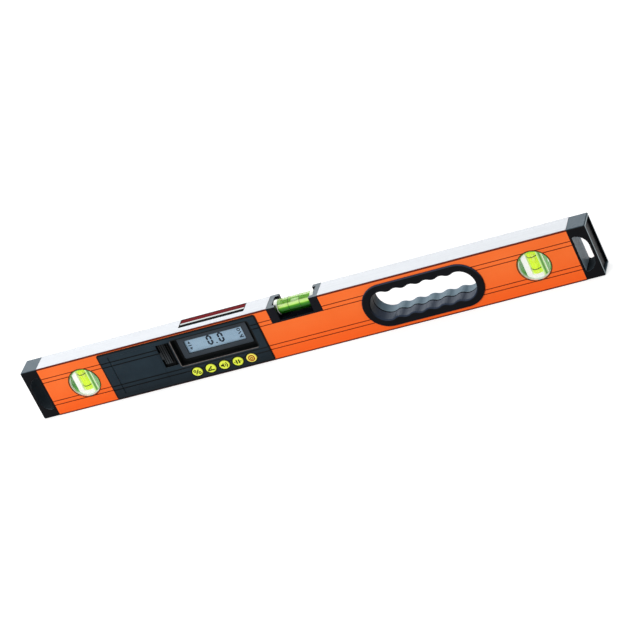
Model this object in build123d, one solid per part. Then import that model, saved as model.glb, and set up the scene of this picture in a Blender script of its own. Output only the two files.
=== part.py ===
from build123d import *
import os

# Digital spirit level, 600 mm class.
# X runs along the level, the display side faces -Y, Z is up.
# The origin is under the middle of the level, on its bottom measuring face. Lengths are in mm.

# Box section beam
BEAM_HEIGHT = 57.0
BEAM_DEPTH = 24.0
BEAM_SIDE_WALL = 1.8
BEAM_EDGE_WALL = 2.8
BEAM_EDGE_RADIUS = 1.0
GROOVE_WIDTH = 0.9
GROOVE_DEPTH = 0.6
GROOVE_FROM_MIDDLE = 11.4      # inner line of each pair
GROOVE_PAIR_GAP = 4.5

# End caps
CAP_LENGTH = 18.5
CAP_SHY = 0.25                 # caps stay back from the two measuring faces
CAP_EDGE_RADIUS = 1.2
CAP_PLUG_LENGTH = 13.0
CAP_PLUG_WALL = 1.8
CAP_PLUG_FIT = 0.2
CAP_END_RIM = 2.2
CAP_END_RECESS = 2.0
HANG_HOLE_WIDTH = 13.1
HANG_HOLE_WALL = 2.4           # between the beam's end and the flat of the hole
HANG_HOLE_MARGIN = 9.0         # above and below the hole
HANG_HOLE_BOW = 12.6
HANG_HOLE_CORNER = 2.0

# Hand hole and its two grip halves
GRIP_LENGTH = 123.5
GRIP_SHIFT = 1.5               # to the right of the middle of its space
GRIP_EDGE_STRIP = 4.75         # beam face left above and below the flange
GRIP_LAP = 4.0                 # flange width resting on the beam
GRIP_FLANGE = 8.0              # flange width from the outside to the hand hole
GRIP_PROUD = 1.8
GRIP_OUTER_ROUND = 1.2
GRIP_INNER_ROUND = 1.4
GRIP_FIT = 0.25
GRIP_SEAM = 0.8                # bevel along the parting line
FINGER_GROOVES = 4
FINGER_PITCH = 15.6
FINGER_DEPTH = 1.9

# Plumb vial units
PLUMB_FLANGE_R = 16.75
PLUMB_BORE_R = 16.0
PLUMB_FIT = 0.25
PLUMB_LENS_PROUD = 0.7
PLUMB_LENS_DOME = 0.4
PLUMB_LENS_WALL = 1.6
PLUMB_BARREL_WALL = 1.0
PLUMB_CARRIER_WIDTH = 21.0
PLUMB_CARRIER_DEPTH = 9.0
PLUMB_VIAL_R = 5.0
PLUMB_VIAL_LENGTH = 22.8
PLUMB_VIAL_GAP = 0.6           # between the vial and the front lens
PLUMB_VIAL_RAISE = 1.8         # above the middle of its unit
PLUMB_VIAL_FLOOR = 2.0
PLUMB_PLUG_LENGTH = 2.0
PLUMB_BUBBLE_R = 1.9
PLUMB_BUBBLE_LENGTH = 7.5
PLUMB_RING_GAP = 13.4          # between the two black lines
PLUMB_RISE = 0.5               # above the middle of the beam

# Level vial in the top edge
HOLDER_LENGTH = 54.0
HOLDER_POST = 9.0
HOLDER_FIT = 0.2
HOLDER_SHY = 0.2
HOLDER_FLOOR = 1.9
LEVEL_VIAL_R = 7.5
LEVEL_VIAL_LENGTH = 35.0
LEVEL_VIAL_SHY = 0.3           # top of the vial below the measuring face
LEVEL_FLOOR_GAP = 0.4          # between the vial and the holder's floor
LEVEL_PLUG_LENGTH = 3.5
LEVEL_SEAT_END = 0.8           # space between a plug and the end of its seat
LEVEL_RING_GAP = 12.0
LEVEL_BUBBLE_R = 1.9
LEVEL_BUBBLE_LENGTH = 10.0

# Vials of either kind
VIAL_WALL = 2.2
VIAL_BARREL = 0.25             # the bore is this much wider at its middle
VIAL_FIT = 0.3
RING_WIDTH = 0.7
RING_HEIGHT = 0.2
RING_FIT = 0.02
PLUG_SPIGOT = 1.6
PLUG_FIT = 0.12
BUBBLE_CLEAR = 0.3

# Electronic module: spaces from left to right
MODULE_TO_PLUMB = 8.2
COVER_FROM_LEFT = 11.0
COVER_TO_LATCH = 1.5
LATCH_RECESS_LENGTH = 14.5
LATCH_TO_POCKET = 2.0
POCKET_LENGTH = 84.0
POCKET_TO_RIGHT = 10.0
MODULE_TO_HOLDER = 13.5
PLUMB_TO_END = 41.75

# Electronic module: spaces from bottom to top
FASCIA_BOTTOM_STRIP = 1.2
BUTTON_RISE = 8.8
BUTTON_TO_POCKET = 10.0
POCKET_TOP_MARGIN = 5.0
FASCIA_TOP_STRIP = 2.2

# Fascia
FASCIA_PROUD = 1.0
FASCIA_THICK = 2.6
FASCIA_LAP_X = 2.4
FASCIA_LAP_BOTTOM = 1.9
FASCIA_LAP_TOP = 2.0
FASCIA_CORNER = 2.5
FASCIA_EDGE_ROUND = 0.5
FASCIA_FIT = 0.3
LINE_WIDTH = 0.9
LINE_DEPTH = 0.4
LINE_END = 1.6                 # clear space where a line stops short of an edge

# Housing tub behind the fascia
TUB_WALL = 1.4
TUB_REAR_GAP = 2.2
TUB_CLIP_LENGTH = 12.0
TUB_CLIP_REACH = 1.0
TUB_CLIP_THICK = 1.6
TUB_CLIP_GAP = 0.15
BOSS_R = 2.0
BOSS_CLEAR = 0.2               # between a boss and the tub's end wall
FASCIA_BOSS_LENGTH = 5.0
SCREW_R = 1.0
SCREW_FIT = 0.12
SCREW_HEAD_R = 2.0
SCREW_HEAD_HEIGHT = 0.8

# Batteries, their cover and its latch
CELL_R = 5.25
CELL_LENGTH = 44.5
CELL_NUB_R = 1.9
CELL_NUB_LENGTH = 1.2
CELL_GAP = 1.1
CELL_TO_COVER = 1.2
CONTACT_DEPTH = 2.7
CONTACT_SHEET = 0.4
CONTACT_WIDTH = 6.0
CELL_FIT = 0.1
COVER_THICK = 1.9
COVER_FIT = 0.25
COVER_MARGIN_Z = 2.4
COVER_LEDGE = 1.5
COVER_PIN_R = 0.6
COVER_PIN_LENGTH = 1.2
COVER_PIN_FIT = 0.1
COVER_RIB = 0.8
LATCH_DEPTH = 4.2
LATCH_RISE = 2.5               # recess above the display pocket's lower edge
LATCH_DROP = 0.7               # recess below the display pocket's upper edge
LATCH_TRAVEL = 3.0
LATCH_TRAY_WALL = 1.0
LATCH_RUNNER = 0.7
LATCH_FIT = 0.2
LATCH_SLIDE_THICK = 1.2
LATCH_PAD_LENGTH = 7.0
LATCH_PAD_MARGIN = 3.6
LATCH_PAD_SHY = 0.7            # pad stays below the fascia's face
LATCH_RIBS = 3
LATCH_RIB_WIDTH = 1.0
LATCH_RIB_DEPTH = 0.7
LATCH_NOSE_WIDTH = 8.0
LATCH_NOSE_THICK = 1.0
LATCH_NOSE_GAP = 0.3

# Display
POCKET_DEPTH = 5.0
FRAME_WALL = 1.0
FRAME_FIT = 0.1
FRAME_FLOOR = 1.2
POCKET_CORNER = 2.0
BEZEL_INSET_X = 4.25
BEZEL_INSET_BOTTOM = 3.8
BEZEL_INSET_TOP = 1.6
BEZEL_THICK = 2.0
BEZEL_EDGE_ROUND = 0.6
VIEW_MARGIN_X = 6.45
VIEW_MARGIN_Z = 4.9
VIEW_RISE = 0.2
WINDOW_LAP = 1.8
WINDOW_THICK = 0.9
WINDOW_FIT = 0.1
LCD_LAP = 3.0
LCD_THICK = 2.0
BACKLIGHT_THICK = 3.0
STRIP_WIDTH = 2.0
STRIP_GAP = 0.4

# Circuit board
BOARD_THICK = 1.6
BOARD_GAP = 1.0
BOARD_SCREW_INSET = 4.0
BOARD_SCREW_LENGTH = 4.0
SENSOR_SIZE = 7.0
SENSOR_THICK = 1.5
CHIP_SIZE = 10.0
CHIP_THICK = 1.0
BUZZER_R = 4.5
BUZZER_HEIGHT = 3.2
BUZZER_HOLE_R = 1.0
BUZZER_GAP = 1.2               # above the screw head below it
SWITCH_SIZE = 6.0
SWITCH_HEIGHT = 3.5
PLUNGER_R = 1.7
PLUNGER_HEIGHT = 1.5

# Push buttons
BUTTON_NAMES = ["unit", "reference", "tone", "hold", "power"]
BUTTON_PITCH = 14.8
BUTTON_HALF_LENGTH = 5.4       # oval buttons
BUTTON_HALF_HEIGHT = 4.6
BUTTON_FIT = 0.3
BUTTON_PROUD = 0.7
BUTTON_EDGE_ROUND = 0.6
BUTTON_COLLAR = 1.0            # collar width and thickness
BUTTON_COLLAR_GAP = 0.1
BUTTON_STEM_R = 2.0
BUTTON_TRAVEL = 0.8
BUTTON_STOP_GAP = 0.3

# Window in the top edge
TOP_WINDOW_LENGTH = 71.5
TOP_WINDOW_WIDTH = 14.8
TOP_WINDOW_SHIFT_X = 4.0       # from the middle of the display
TOP_WINDOW_SHIFT_Y = 3.2       # from the middle of the top face
TOP_WINDOW_DEPTH = 1.8
TOP_WINDOW_LEDGE = 1.6
TOP_WINDOW_SHY = 0.15
TOP_FRAME_FRONT = 4.2
TOP_FRAME_SIDE = 0.8
TOP_WINDOW_FIT = 0.1
TOP_LENS_SHARE_WIDTH = 6.3     # red lens; the white strip takes what is left

# Worked out from the sizes above: heights
MIDDLE_Z = BEAM_HEIGHT / 2
FASCIA_BOTTOM = FASCIA_BOTTOM_STRIP
FASCIA_TOP = BEAM_HEIGHT - FASCIA_TOP_STRIP
BUTTON_Z = FASCIA_BOTTOM + BUTTON_RISE
POCKET_BOTTOM = BUTTON_Z + BUTTON_TO_POCKET
POCKET_TOP = FASCIA_TOP - POCKET_TOP_MARGIN
BODY_BOTTOM = FASCIA_BOTTOM + FASCIA_LAP_BOTTOM + FASCIA_FIT
BODY_TOP = FASCIA_TOP - FASCIA_LAP_TOP - FASCIA_FIT
COVER_BOTTOM = BODY_BOTTOM + COVER_MARGIN_Z
COVER_TOP = BODY_TOP - COVER_MARGIN_Z
LATCH_BOTTOM = POCKET_BOTTOM + LATCH_RISE
LATCH_TOP = POCKET_TOP - LATCH_DROP
PLUMB_Z = MIDDLE_Z + PLUMB_RISE
LEVEL_Z = BEAM_HEIGHT - LEVEL_VIAL_SHY - LEVEL_VIAL_R
HOLDER_HEIGHT = LEVEL_VIAL_SHY + 2 * LEVEL_VIAL_R + LEVEL_FLOOR_GAP + HOLDER_FLOOR

# Worked out: lengths, from the middle of the level to the left end
BAY_LENGTH = CELL_LENGTH + 2 * CONTACT_DEPTH
COVER_LENGTH = BAY_LENGTH + TUB_WALL
FASCIA_RIGHT = -(HOLDER_LENGTH / 2 + MODULE_TO_HOLDER)
POCKET_RIGHT = FASCIA_RIGHT - POCKET_TO_RIGHT
POCKET_LEFT = POCKET_RIGHT - POCKET_LENGTH
LATCH_RIGHT = POCKET_LEFT - LATCH_TO_POCKET
LATCH_LEFT = LATCH_RIGHT - LATCH_RECESS_LENGTH
COVER_RIGHT = LATCH_LEFT - COVER_TO_LATCH
COVER_LEFT = COVER_RIGHT - COVER_LENGTH
FASCIA_LEFT = COVER_LEFT - COVER_FROM_LEFT
BODY_LEFT = FASCIA_LEFT + FASCIA_LAP_X + FASCIA_FIT
BODY_RIGHT = FASCIA_RIGHT - FASCIA_LAP_X - FASCIA_FIT
PLUMB_X = -FASCIA_LEFT + MODULE_TO_PLUMB + PLUMB_FLANGE_R
BEAM_HALF = PLUMB_X + PLUMB_TO_END
DISPLAY_X = (POCKET_LEFT + POCKET_RIGHT) / 2
GRIP_X = (HOLDER_LENGTH / 2 + PLUMB_X - PLUMB_FLANGE_R) / 2 + GRIP_SHIFT
BAY_RIGHT = COVER_RIGHT - TUB_WALL
BAY_LEFT = BAY_RIGHT - BAY_LENGTH
LATCH_SLIDE_LENGTH = LATCH_RECESS_LENGTH - LATCH_TRAVEL - 3 * LATCH_FIT

# Worked out: depths, from the front to the rear
FRONT = -BEAM_DEPTH / 2
REAR_INSIDE = BEAM_DEPTH / 2 - BEAM_SIDE_WALL
PLUMB_VIAL_Y = FRONT - PLUMB_LENS_PROUD + PLUMB_LENS_WALL + PLUMB_VIAL_GAP + PLUMB_VIAL_R
FACE = FRONT - FASCIA_PROUD
FASCIA_BACK = FACE + FASCIA_THICK
TUB_BACK = REAR_INSIDE - TUB_REAR_GAP
TUB_FLOOR = TUB_BACK - TUB_WALL
COVER_BACK = FACE + COVER_THICK
CELL_Y = COVER_BACK + CELL_TO_COVER + CELL_R
LATCH_FLOOR = FACE + LATCH_DEPTH
BEZEL_FRONT = FACE + POCKET_DEPTH
BEZEL_BACK = BEZEL_FRONT + BEZEL_THICK
LCD_BACK = BEZEL_BACK + LCD_THICK
BOARD_FRONT = LCD_BACK + BACKLIGHT_THICK
BOARD_BACK = BOARD_FRONT + BOARD_THICK

# Worked out: the display's own sizes
BEZEL_LEFT = POCKET_LEFT + BEZEL_INSET_X
BEZEL_RIGHT = POCKET_RIGHT - BEZEL_INSET_X
BEZEL_BOTTOM = POCKET_BOTTOM + BEZEL_INSET_BOTTOM
BEZEL_TOP = POCKET_TOP - BEZEL_INSET_TOP
VIEW_LENGTH = BEZEL_RIGHT - BEZEL_LEFT - 2 * VIEW_MARGIN_X
VIEW_HEIGHT = BEZEL_TOP - BEZEL_BOTTOM - 2 * VIEW_MARGIN_Z
VIEW_Z = (BEZEL_BOTTOM + BEZEL_TOP) / 2 + VIEW_RISE
LCD_HEIGHT = VIEW_HEIGHT + 2 * LCD_LAP

# Worked out: circuit board between the battery bay and the right-hand bosses
BOSS_RIGHT_X = BODY_RIGHT - TUB_WALL - BOSS_CLEAR - BOSS_R
BOSS_LEFT_X = (BODY_LEFT + TUB_WALL + BAY_LEFT - TUB_WALL) / 2
BOSS_LOW_Z = BODY_BOTTOM + TUB_WALL + 2 * BOSS_R
BOSS_HIGH_Z = BODY_TOP - TUB_WALL - 2 * BOSS_R
BOARD_LEFT = COVER_RIGHT + BOARD_GAP
BOARD_RIGHT = BOSS_RIGHT_X - BOSS_R - BOARD_GAP
BOARD_BOTTOM = BODY_BOTTOM + TUB_WALL + BOARD_GAP
BOARD_TOP = BODY_TOP - TUB_WALL - BOARD_GAP


def block(x0, x1, y0, y1, z0, z1):
    """Box between two corners."""
    centre = Pos((x0 + x1) / 2, (y0 + y1) / 2, (z0 + z1) / 2)
    return centre * Box(abs(x1 - x0), abs(y1 - y0), abs(z1 - z0))


def rect(x0, x1, z0, z1, radius=0):
    """Rectangle in the X-Z view, with round corners if asked."""
    shape = RectangleRounded(x1 - x0, z1 - z0, radius) if radius else Rectangle(x1 - x0, z1 - z0)
    return Pos((x0 + x1) / 2, (z0 + z1) / 2) * shape


def slab(outline, y0, y1):
    """Solid of an X-Z outline between two depths."""
    return extrude(Plane.XZ.offset(-y1) * outline, amount=y1 - y0)


def bar(outline, x0, x1):
    """Solid of a Y-Z outline between two places along the level."""
    return extrude(Plane.YZ.offset(x0) * outline, amount=x1 - x0)


def column(outline, z0, z1):
    """Solid of an X-Y outline between two heights."""
    return extrude(Plane.XY.offset(z0) * outline, amount=z1 - z0)


def rod(x, z, radius, y0, y1):
    """Round solid along the depth."""
    return slab(Pos(x, z) * Circle(radius), y0, y1)


def front_edges(solid):
    """Edges of the face nearest the viewer."""
    return solid.faces().sort_by(Axis.Y)[0].edges()


def groove_heights():
    """Heights of the four long lines on each side of the level."""
    outer = GROOVE_FROM_MIDDLE + GROOVE_PAIR_GAP
    return [MIDDLE_Z + offset for offset in (-outer, -GROOVE_FROM_MIDDLE, GROOVE_FROM_MIDDLE, outer)]


def plumb_places():
    """Unit name and place along the level."""
    return {"left": -PLUMB_X, "right": PLUMB_X}


def button_places():
    """Button name and place along the level."""
    first = DISPLAY_X - BUTTON_PITCH * (len(BUTTON_NAMES) - 1) / 2
    return {name: first + BUTTON_PITCH * i for i, name in enumerate(BUTTON_NAMES)}


def button_oval(x, extra, y0, y1):
    """Oval of a button, made larger all round by extra."""
    oval = Ellipse(BUTTON_HALF_LENGTH + extra, BUTTON_HALF_HEIGHT + extra)
    return slab(Pos(x, BUTTON_Z) * oval, y0, y1)


def housing_screw_places():
    return [(x, z) for x in (BOSS_LEFT_X, BOSS_RIGHT_X) for z in (BOSS_LOW_Z, BOSS_HIGH_Z)]


def board_screw_places():
    left = BOARD_LEFT + BOARD_SCREW_INSET
    right = BOARD_RIGHT - BOARD_SCREW_INSET
    low = BOARD_BOTTOM + BOARD_SCREW_INSET
    high = BOARD_TOP - BOARD_SCREW_INSET
    return [(x, z) for x in (left, right) for z in (low, high)]


def cell_heights():
    middle = (COVER_BOTTOM + COVER_TOP) / 2
    offset = CELL_R + CELL_GAP / 2
    return {"upper": middle + offset, "lower": middle - offset}


def hand_opening():
    """Opening in both side walls that takes the grip's sleeve."""
    return Pos(GRIP_X, MIDDLE_Z) * SlotOverall(
        GRIP_LENGTH - 2 * GRIP_LAP, BEAM_HEIGHT - 2 * GRIP_EDGE_STRIP - 2 * GRIP_LAP
    )


def top_window_area(inset):
    """Outline of the top window, drawn in by an inset."""
    place = Pos(DISPLAY_X + TOP_WINDOW_SHIFT_X, TOP_WINDOW_SHIFT_Y)
    return place * Rectangle(TOP_WINDOW_LENGTH - 2 * inset, TOP_WINDOW_WIDTH - 2 * inset)


def beam():
    """Painted box section with its long lines and all its openings."""
    section = Pos(0, MIDDLE_Z) * RectangleRounded(BEAM_DEPTH, BEAM_HEIGHT, BEAM_EDGE_RADIUS)
    section -= Pos(0, MIDDLE_Z) * RectangleRounded(
        BEAM_DEPTH - 2 * BEAM_SIDE_WALL, BEAM_HEIGHT - 2 * BEAM_EDGE_WALL, BEAM_EDGE_RADIUS
    )
    for height in groove_heights():
        for side in (-BEAM_DEPTH / 2, BEAM_DEPTH / 2):
            section -= Pos(side, height) * Rectangle(2 * GROOVE_DEPTH, GROOVE_WIDTH)
    body = bar(section, -BEAM_HALF, BEAM_HALF)
    for x in plumb_places().values():
        body -= rod(x, PLUMB_Z, PLUMB_BORE_R, -BEAM_DEPTH, BEAM_DEPTH)
    body -= slab(hand_opening(), -BEAM_DEPTH, BEAM_DEPTH)
    module_opening = rect(
        BODY_LEFT - FASCIA_FIT,
        BODY_RIGHT + FASCIA_FIT,
        BODY_BOTTOM - FASCIA_FIT,
        BODY_TOP + FASCIA_FIT,
        FASCIA_CORNER,
    )
    body -= slab(module_opening, FRONT - BEAM_SIDE_WALL, FRONT + 2 * BEAM_SIDE_WALL)
    notch_half = HOLDER_LENGTH / 2 + HOLDER_FIT
    body -= block(
        -notch_half, notch_half, -BEAM_DEPTH, BEAM_DEPTH, BEAM_HEIGHT - HOLDER_HEIGHT, 2 * BEAM_HEIGHT
    )
    body -= column(top_window_area(0), BEAM_HEIGHT - TOP_WINDOW_DEPTH, 2 * BEAM_HEIGHT)
    body -= column(
        top_window_area(TOP_WINDOW_LEDGE), BEAM_HEIGHT - 2 * BEAM_EDGE_WALL, 2 * BEAM_HEIGHT
    )
    return body


def end_cap():
    """Right-hand cap: block with hang hole and recessed end, and a ribbed plug into the beam."""
    start = BEAM_HALF
    end = BEAM_HALF + CAP_LENGTH
    low = CAP_SHY
    high = BEAM_HEIGHT - CAP_SHY
    cap = bar(Pos(0, MIDDLE_Z) * Rectangle(BEAM_DEPTH, high - low), start, end)
    outer = cap.faces().sort_by(Axis.X)[-1]
    rounded = outer.edges() + cap.edges().filter_by(Axis.X)
    cap = fillet(rounded, CAP_EDGE_RADIUS)
    cap -= block(
        end - CAP_END_RECESS,
        end + CAP_END_RECESS,
        FRONT + CAP_END_RIM,
        -FRONT - CAP_END_RIM,
        low + CAP_END_RIM,
        high - CAP_END_RIM,
    )
    hole_left = start + HANG_HOLE_WALL
    hole = block(
        hole_left,
        hole_left + HANG_HOLE_WIDTH,
        -BEAM_DEPTH,
        BEAM_DEPTH,
        HANG_HOLE_MARGIN,
        BEAM_HEIGHT - HANG_HOLE_MARGIN,
    )
    corners = hole.edges().filter_by(Axis.Y).sort_by(Axis.X)
    hole = fillet(corners[2:], HANG_HOLE_BOW)
    corners = hole.edges().filter_by(Axis.Y).sort_by(Axis.X)
    hole = fillet(corners[:2], HANG_HOLE_CORNER)
    cap -= hole
    plug_depth = BEAM_DEPTH - 2 * BEAM_SIDE_WALL - 2 * CAP_PLUG_FIT
    plug_height = BEAM_HEIGHT - 2 * BEAM_EDGE_WALL - 2 * CAP_PLUG_FIT
    plug = RectangleRounded(plug_depth, plug_height, BEAM_EDGE_RADIUS)
    plug -= Rectangle(plug_depth - 2 * CAP_PLUG_WALL, plug_height - 2 * CAP_PLUG_WALL)
    plug += Rectangle(plug_depth, CAP_PLUG_WALL)
    cap += bar(Pos(0, MIDDLE_Z) * plug, start - CAP_PLUG_LENGTH, start)
    return cap


def finger_hole():
    """Hand hole with finger waves along its upper and lower sides and elliptic ends."""
    half_length = GRIP_LENGTH / 2 - GRIP_FLANGE
    valley = MIDDLE_Z - GRIP_EDGE_STRIP - GRIP_FLANGE
    crest = valley - FINGER_DEPTH
    middle = (valley + crest) / 2
    quarter = FINGER_PITCH / 4
    wave_half = FINGER_PITCH * FINGER_GROOVES / 2
    round_start = wave_half + 2 * quarter
    arcs = []
    for i in range(FINGER_GROOVES + 1):
        x = -wave_half + FINGER_PITCH * i
        arcs.append(ThreePointArc((x - quarter, middle), (x, crest), (x + quarter, middle)))
        if i < FINGER_GROOVES:
            x += 2 * quarter
            arcs.append(ThreePointArc((x - quarter, middle), (x, valley), (x + quarter, middle)))
    arcs.append(TangentArc((round_start, valley), (wave_half + quarter, middle), tangent=(-1, 0)))
    arcs.append(
        EllipticalCenterArc(
            (round_start, 0), half_length - round_start, valley, start_angle=0, arc_size=90
        )
    )
    upper = Curve() + arcs
    upper += mirror(Curve() + arcs[-2:], about=Plane.YZ)
    outline = make_face(upper + mirror(upper, about=Plane.XZ))
    return Pos(GRIP_X, MIDDLE_Z) * outline


def grip_half():
    """Front half of the grip: flange on the beam's face and a sleeve to the parting line."""
    front = FRONT - GRIP_PROUD
    flange = Pos(GRIP_X, MIDDLE_Z) * SlotOverall(GRIP_LENGTH, BEAM_HEIGHT - 2 * GRIP_EDGE_STRIP)
    half = slab(flange, front, FRONT)
    half = fillet(front_edges(half), GRIP_OUTER_ROUND)
    half += slab(offset(hand_opening(), -GRIP_FIT), FRONT, 0)
    half -= slab(finger_hole(), -BEAM_DEPTH, BEAM_DEPTH)
    rim = half.faces().sort_by(Axis.Y)[0].inner_wires()[0]
    half = fillet(rim.edges(), GRIP_INNER_ROUND)
    seam = half.faces().sort_by(Axis.Y)[-1].inner_wires()[0]
    return chamfer(seam.edges(), GRIP_SEAM)


def lens():
    """Front plumb lens: slightly domed cover with a flange and a spigot into the bore."""
    spigot_r = PLUMB_BORE_R - PLUMB_FIT
    top = FRONT - PLUMB_LENS_PROUD
    inside = top + PLUMB_LENS_WALL
    crown = ThreePointArc(
        (0, top - PLUMB_LENS_DOME),
        (PLUMB_FLANGE_R / 2, top - PLUMB_LENS_DOME * 3 / 4),
        (PLUMB_FLANGE_R - PLUMB_LENS_PROUD / 2, top),
    )
    edge = Polyline(
        crown @ 1,
        (PLUMB_FLANGE_R, top + PLUMB_LENS_PROUD / 2),
        (PLUMB_FLANGE_R, FRONT),
        (spigot_r, FRONT),
        (spigot_r, inside),
        (0, inside),
        crown @ 0,
    )
    return revolve(make_face(crown + edge), Axis.Y)


def barrel_span():
    """Depth of the inside of a plumb unit, from lens to lens."""
    return BEAM_DEPTH / 2 + PLUMB_LENS_PROUD - PLUMB_LENS_WALL - PLUMB_FIT


def plumb_barrel():
    """Clear tube that closes the beam's hollow off round the vial."""
    outer = PLUMB_BORE_R - PLUMB_FIT
    ring = Circle(outer) - Circle(outer - PLUMB_BARREL_WALL)
    return slab(ring, -barrel_span(), barrel_span())


def plumb_carrier():
    """White holder: two cheeks beside the vial, joined below it and open above."""
    radius = PLUMB_BORE_R - 2 * PLUMB_FIT - PLUMB_BARREL_WALL
    outline = Circle(radius) & Rectangle(PLUMB_CARRIER_WIDTH, 2 * PLUMB_BORE_R)
    seat = Rectangle(2 * (PLUMB_VIAL_R + VIAL_FIT), PLUMB_VIAL_LENGTH + 2 * VIAL_FIT + 2 * PLUMB_BORE_R)
    outline -= Pos(0, PLUMB_VIAL_RAISE + PLUMB_BORE_R) * seat
    return slab(outline, -PLUMB_CARRIER_DEPTH / 2, PLUMB_CARRIER_DEPTH / 2)


def barrel_bore(radius, start, end):
    """Bore of a vial along Z, a little wider at its middle than at its ends."""
    middle = (start + end) / 2
    wall = ThreePointArc((radius, start), (radius + VIAL_BARREL, middle), (radius, end))
    rest = Polyline((radius, end), (0, end), (0, start), (radius, start))
    return revolve(Plane.XZ * make_face(wall + rest), Axis.Z)


def capsule(radius, length):
    """Bubble along Z with round ends."""
    straight = length / 2 - radius
    bubble = column(Circle(radius), -straight, straight)
    for end in (-straight, straight):
        bubble += Pos(0, 0, end) * Sphere(radius)
    return bubble


def tube_rings(radius, gap):
    """The two black lines round a vial that stands along Z."""
    outline = Circle(radius + RING_FIT + RING_HEIGHT) - Circle(radius + RING_FIT)
    rings = []
    for middle in (-gap / 2, gap / 2):
        rings.append(column(outline, middle - RING_WIDTH / 2, middle + RING_WIDTH / 2))
    return rings


def plumb_vial():
    """Acrylic vial along Z, closed below, with a barrel bore open above for its plug."""
    half = PLUMB_VIAL_LENGTH / 2
    top = half - PLUMB_PLUG_LENGTH
    vial = column(Circle(PLUMB_VIAL_R), -half, top)
    return vial - barrel_bore(PLUMB_VIAL_R - VIAL_WALL, PLUMB_VIAL_FLOOR - half, top)


def plumb_plug():
    """Plug that closes the vial's upper end."""
    half = PLUMB_VIAL_LENGTH / 2
    top = half - PLUMB_PLUG_LENGTH
    plug = column(Circle(PLUMB_VIAL_R), top, half)
    return plug + column(Circle(PLUMB_VIAL_R - VIAL_WALL - PLUG_FIT), top - PLUG_SPIGOT, top)


def plumb_bubble():
    """Air bubble, resting at the top of the standing vial."""
    top = PLUMB_VIAL_LENGTH / 2 - PLUMB_PLUG_LENGTH - PLUG_SPIGOT - BUBBLE_CLEAR
    return Pos(0, 0, top - PLUMB_BUBBLE_LENGTH / 2) * capsule(PLUMB_BUBBLE_R, PLUMB_BUBBLE_LENGTH)


def plumb_unit(x):
    """All pieces of one plumb vial unit, by short name."""
    place = Pos(x, 0, PLUMB_Z)
    seat = Pos(x, PLUMB_VIAL_Y, PLUMB_Z)
    inside = seat * Pos(0, 0, PLUMB_VIAL_RAISE)
    cover = lens()
    rings = Compound(children=[inside * ring for ring in tube_rings(PLUMB_VIAL_R, PLUMB_RING_GAP)])
    return {
        "front_lens": place * cover,
        "rear_lens": place * mirror(cover, about=Plane.XZ),
        "barrel": place * plumb_barrel(),
        "carrier": seat * plumb_carrier(),
        "vial": inside * plumb_vial(),
        "plug": inside * plumb_plug(),
        "rings": rings,
        "bubble": inside * plumb_bubble(),
    }


def level_holder():
    """Saddle in the top edge: two posts with open seats for the ends of the vial."""
    half = HOLDER_LENGTH / 2
    low = BEAM_HEIGHT - HOLDER_HEIGHT
    high = BEAM_HEIGHT - HOLDER_SHY
    gap = half - HOLDER_POST
    holder = block(-half, half, FRONT, -FRONT, low, high)
    holder -= block(-gap, gap, -BEAM_DEPTH, BEAM_DEPTH, low + HOLDER_FLOOR, 2 * BEAM_HEIGHT)
    seat_r = LEVEL_VIAL_R + VIAL_FIT
    seat = Pos(0, LEVEL_Z) * Circle(seat_r) + Pos(0, LEVEL_Z + seat_r) * Rectangle(2 * seat_r, 2 * seat_r)
    reach = LEVEL_VIAL_LENGTH / 2 + LEVEL_PLUG_LENGTH + LEVEL_SEAT_END
    return holder - bar(seat, -reach, reach)


def level_vial():
    """Acrylic tube along X with a barrel bore right through."""
    half = LEVEL_VIAL_LENGTH / 2
    vial = column(Circle(LEVEL_VIAL_R), -half, half)
    vial -= barrel_bore(LEVEL_VIAL_R - VIAL_WALL, -half, half)
    return Pos(0, 0, LEVEL_Z) * Rot(0, 90, 0) * vial


def level_plugs():
    """White plugs in both ends of the level vial."""
    start = LEVEL_VIAL_LENGTH / 2
    plug = column(Circle(LEVEL_VIAL_R), start, start + LEVEL_PLUG_LENGTH)
    plug += column(Circle(LEVEL_VIAL_R - VIAL_WALL - PLUG_FIT), start - PLUG_SPIGOT, start)
    return [Pos(0, 0, LEVEL_Z) * Rot(0, turn, 0) * plug for turn in (-90, 90)]


def level_bubble():
    """Air bubble at the top of the level vial, at its middle."""
    height = LEVEL_Z + LEVEL_VIAL_R - VIAL_WALL - LEVEL_BUBBLE_R - BUBBLE_CLEAR
    return Pos(0, 0, height) * Rot(0, 90, 0) * capsule(LEVEL_BUBBLE_R, LEVEL_BUBBLE_LENGTH)


def level_rings():
    """The two black lines round the level vial."""
    turn = Pos(0, 0, LEVEL_Z) * Rot(0, 90, 0)
    return [turn * ring for ring in tube_rings(LEVEL_VIAL_R, LEVEL_RING_GAP)]


def long_lines(x0, x1, heights):
    """Moulded lines that carry the beam's lines on across the module."""
    cut = Part()
    for height in heights:
        line = rect(x0, x1, height - LINE_WIDTH / 2, height + LINE_WIDTH / 2)
        cut += slab(line, FACE - LINE_DEPTH, FACE + LINE_DEPTH)
    return cut


def latch_tray():
    """Moulded tray behind the fascia round the latch."""
    tray_top = LATCH_TOP + LATCH_TRAY_WALL + LATCH_RUNNER
    tray_bottom = LATCH_BOTTOM - LATCH_TRAY_WALL - LATCH_RUNNER
    left = LATCH_LEFT - LATCH_TRAY_WALL
    right = LATCH_RIGHT + LATCH_TRAY_WALL
    return slab(rect(left, right, tray_bottom, tray_top), FASCIA_BACK, LATCH_FLOOR + LATCH_TRAY_WALL)


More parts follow.
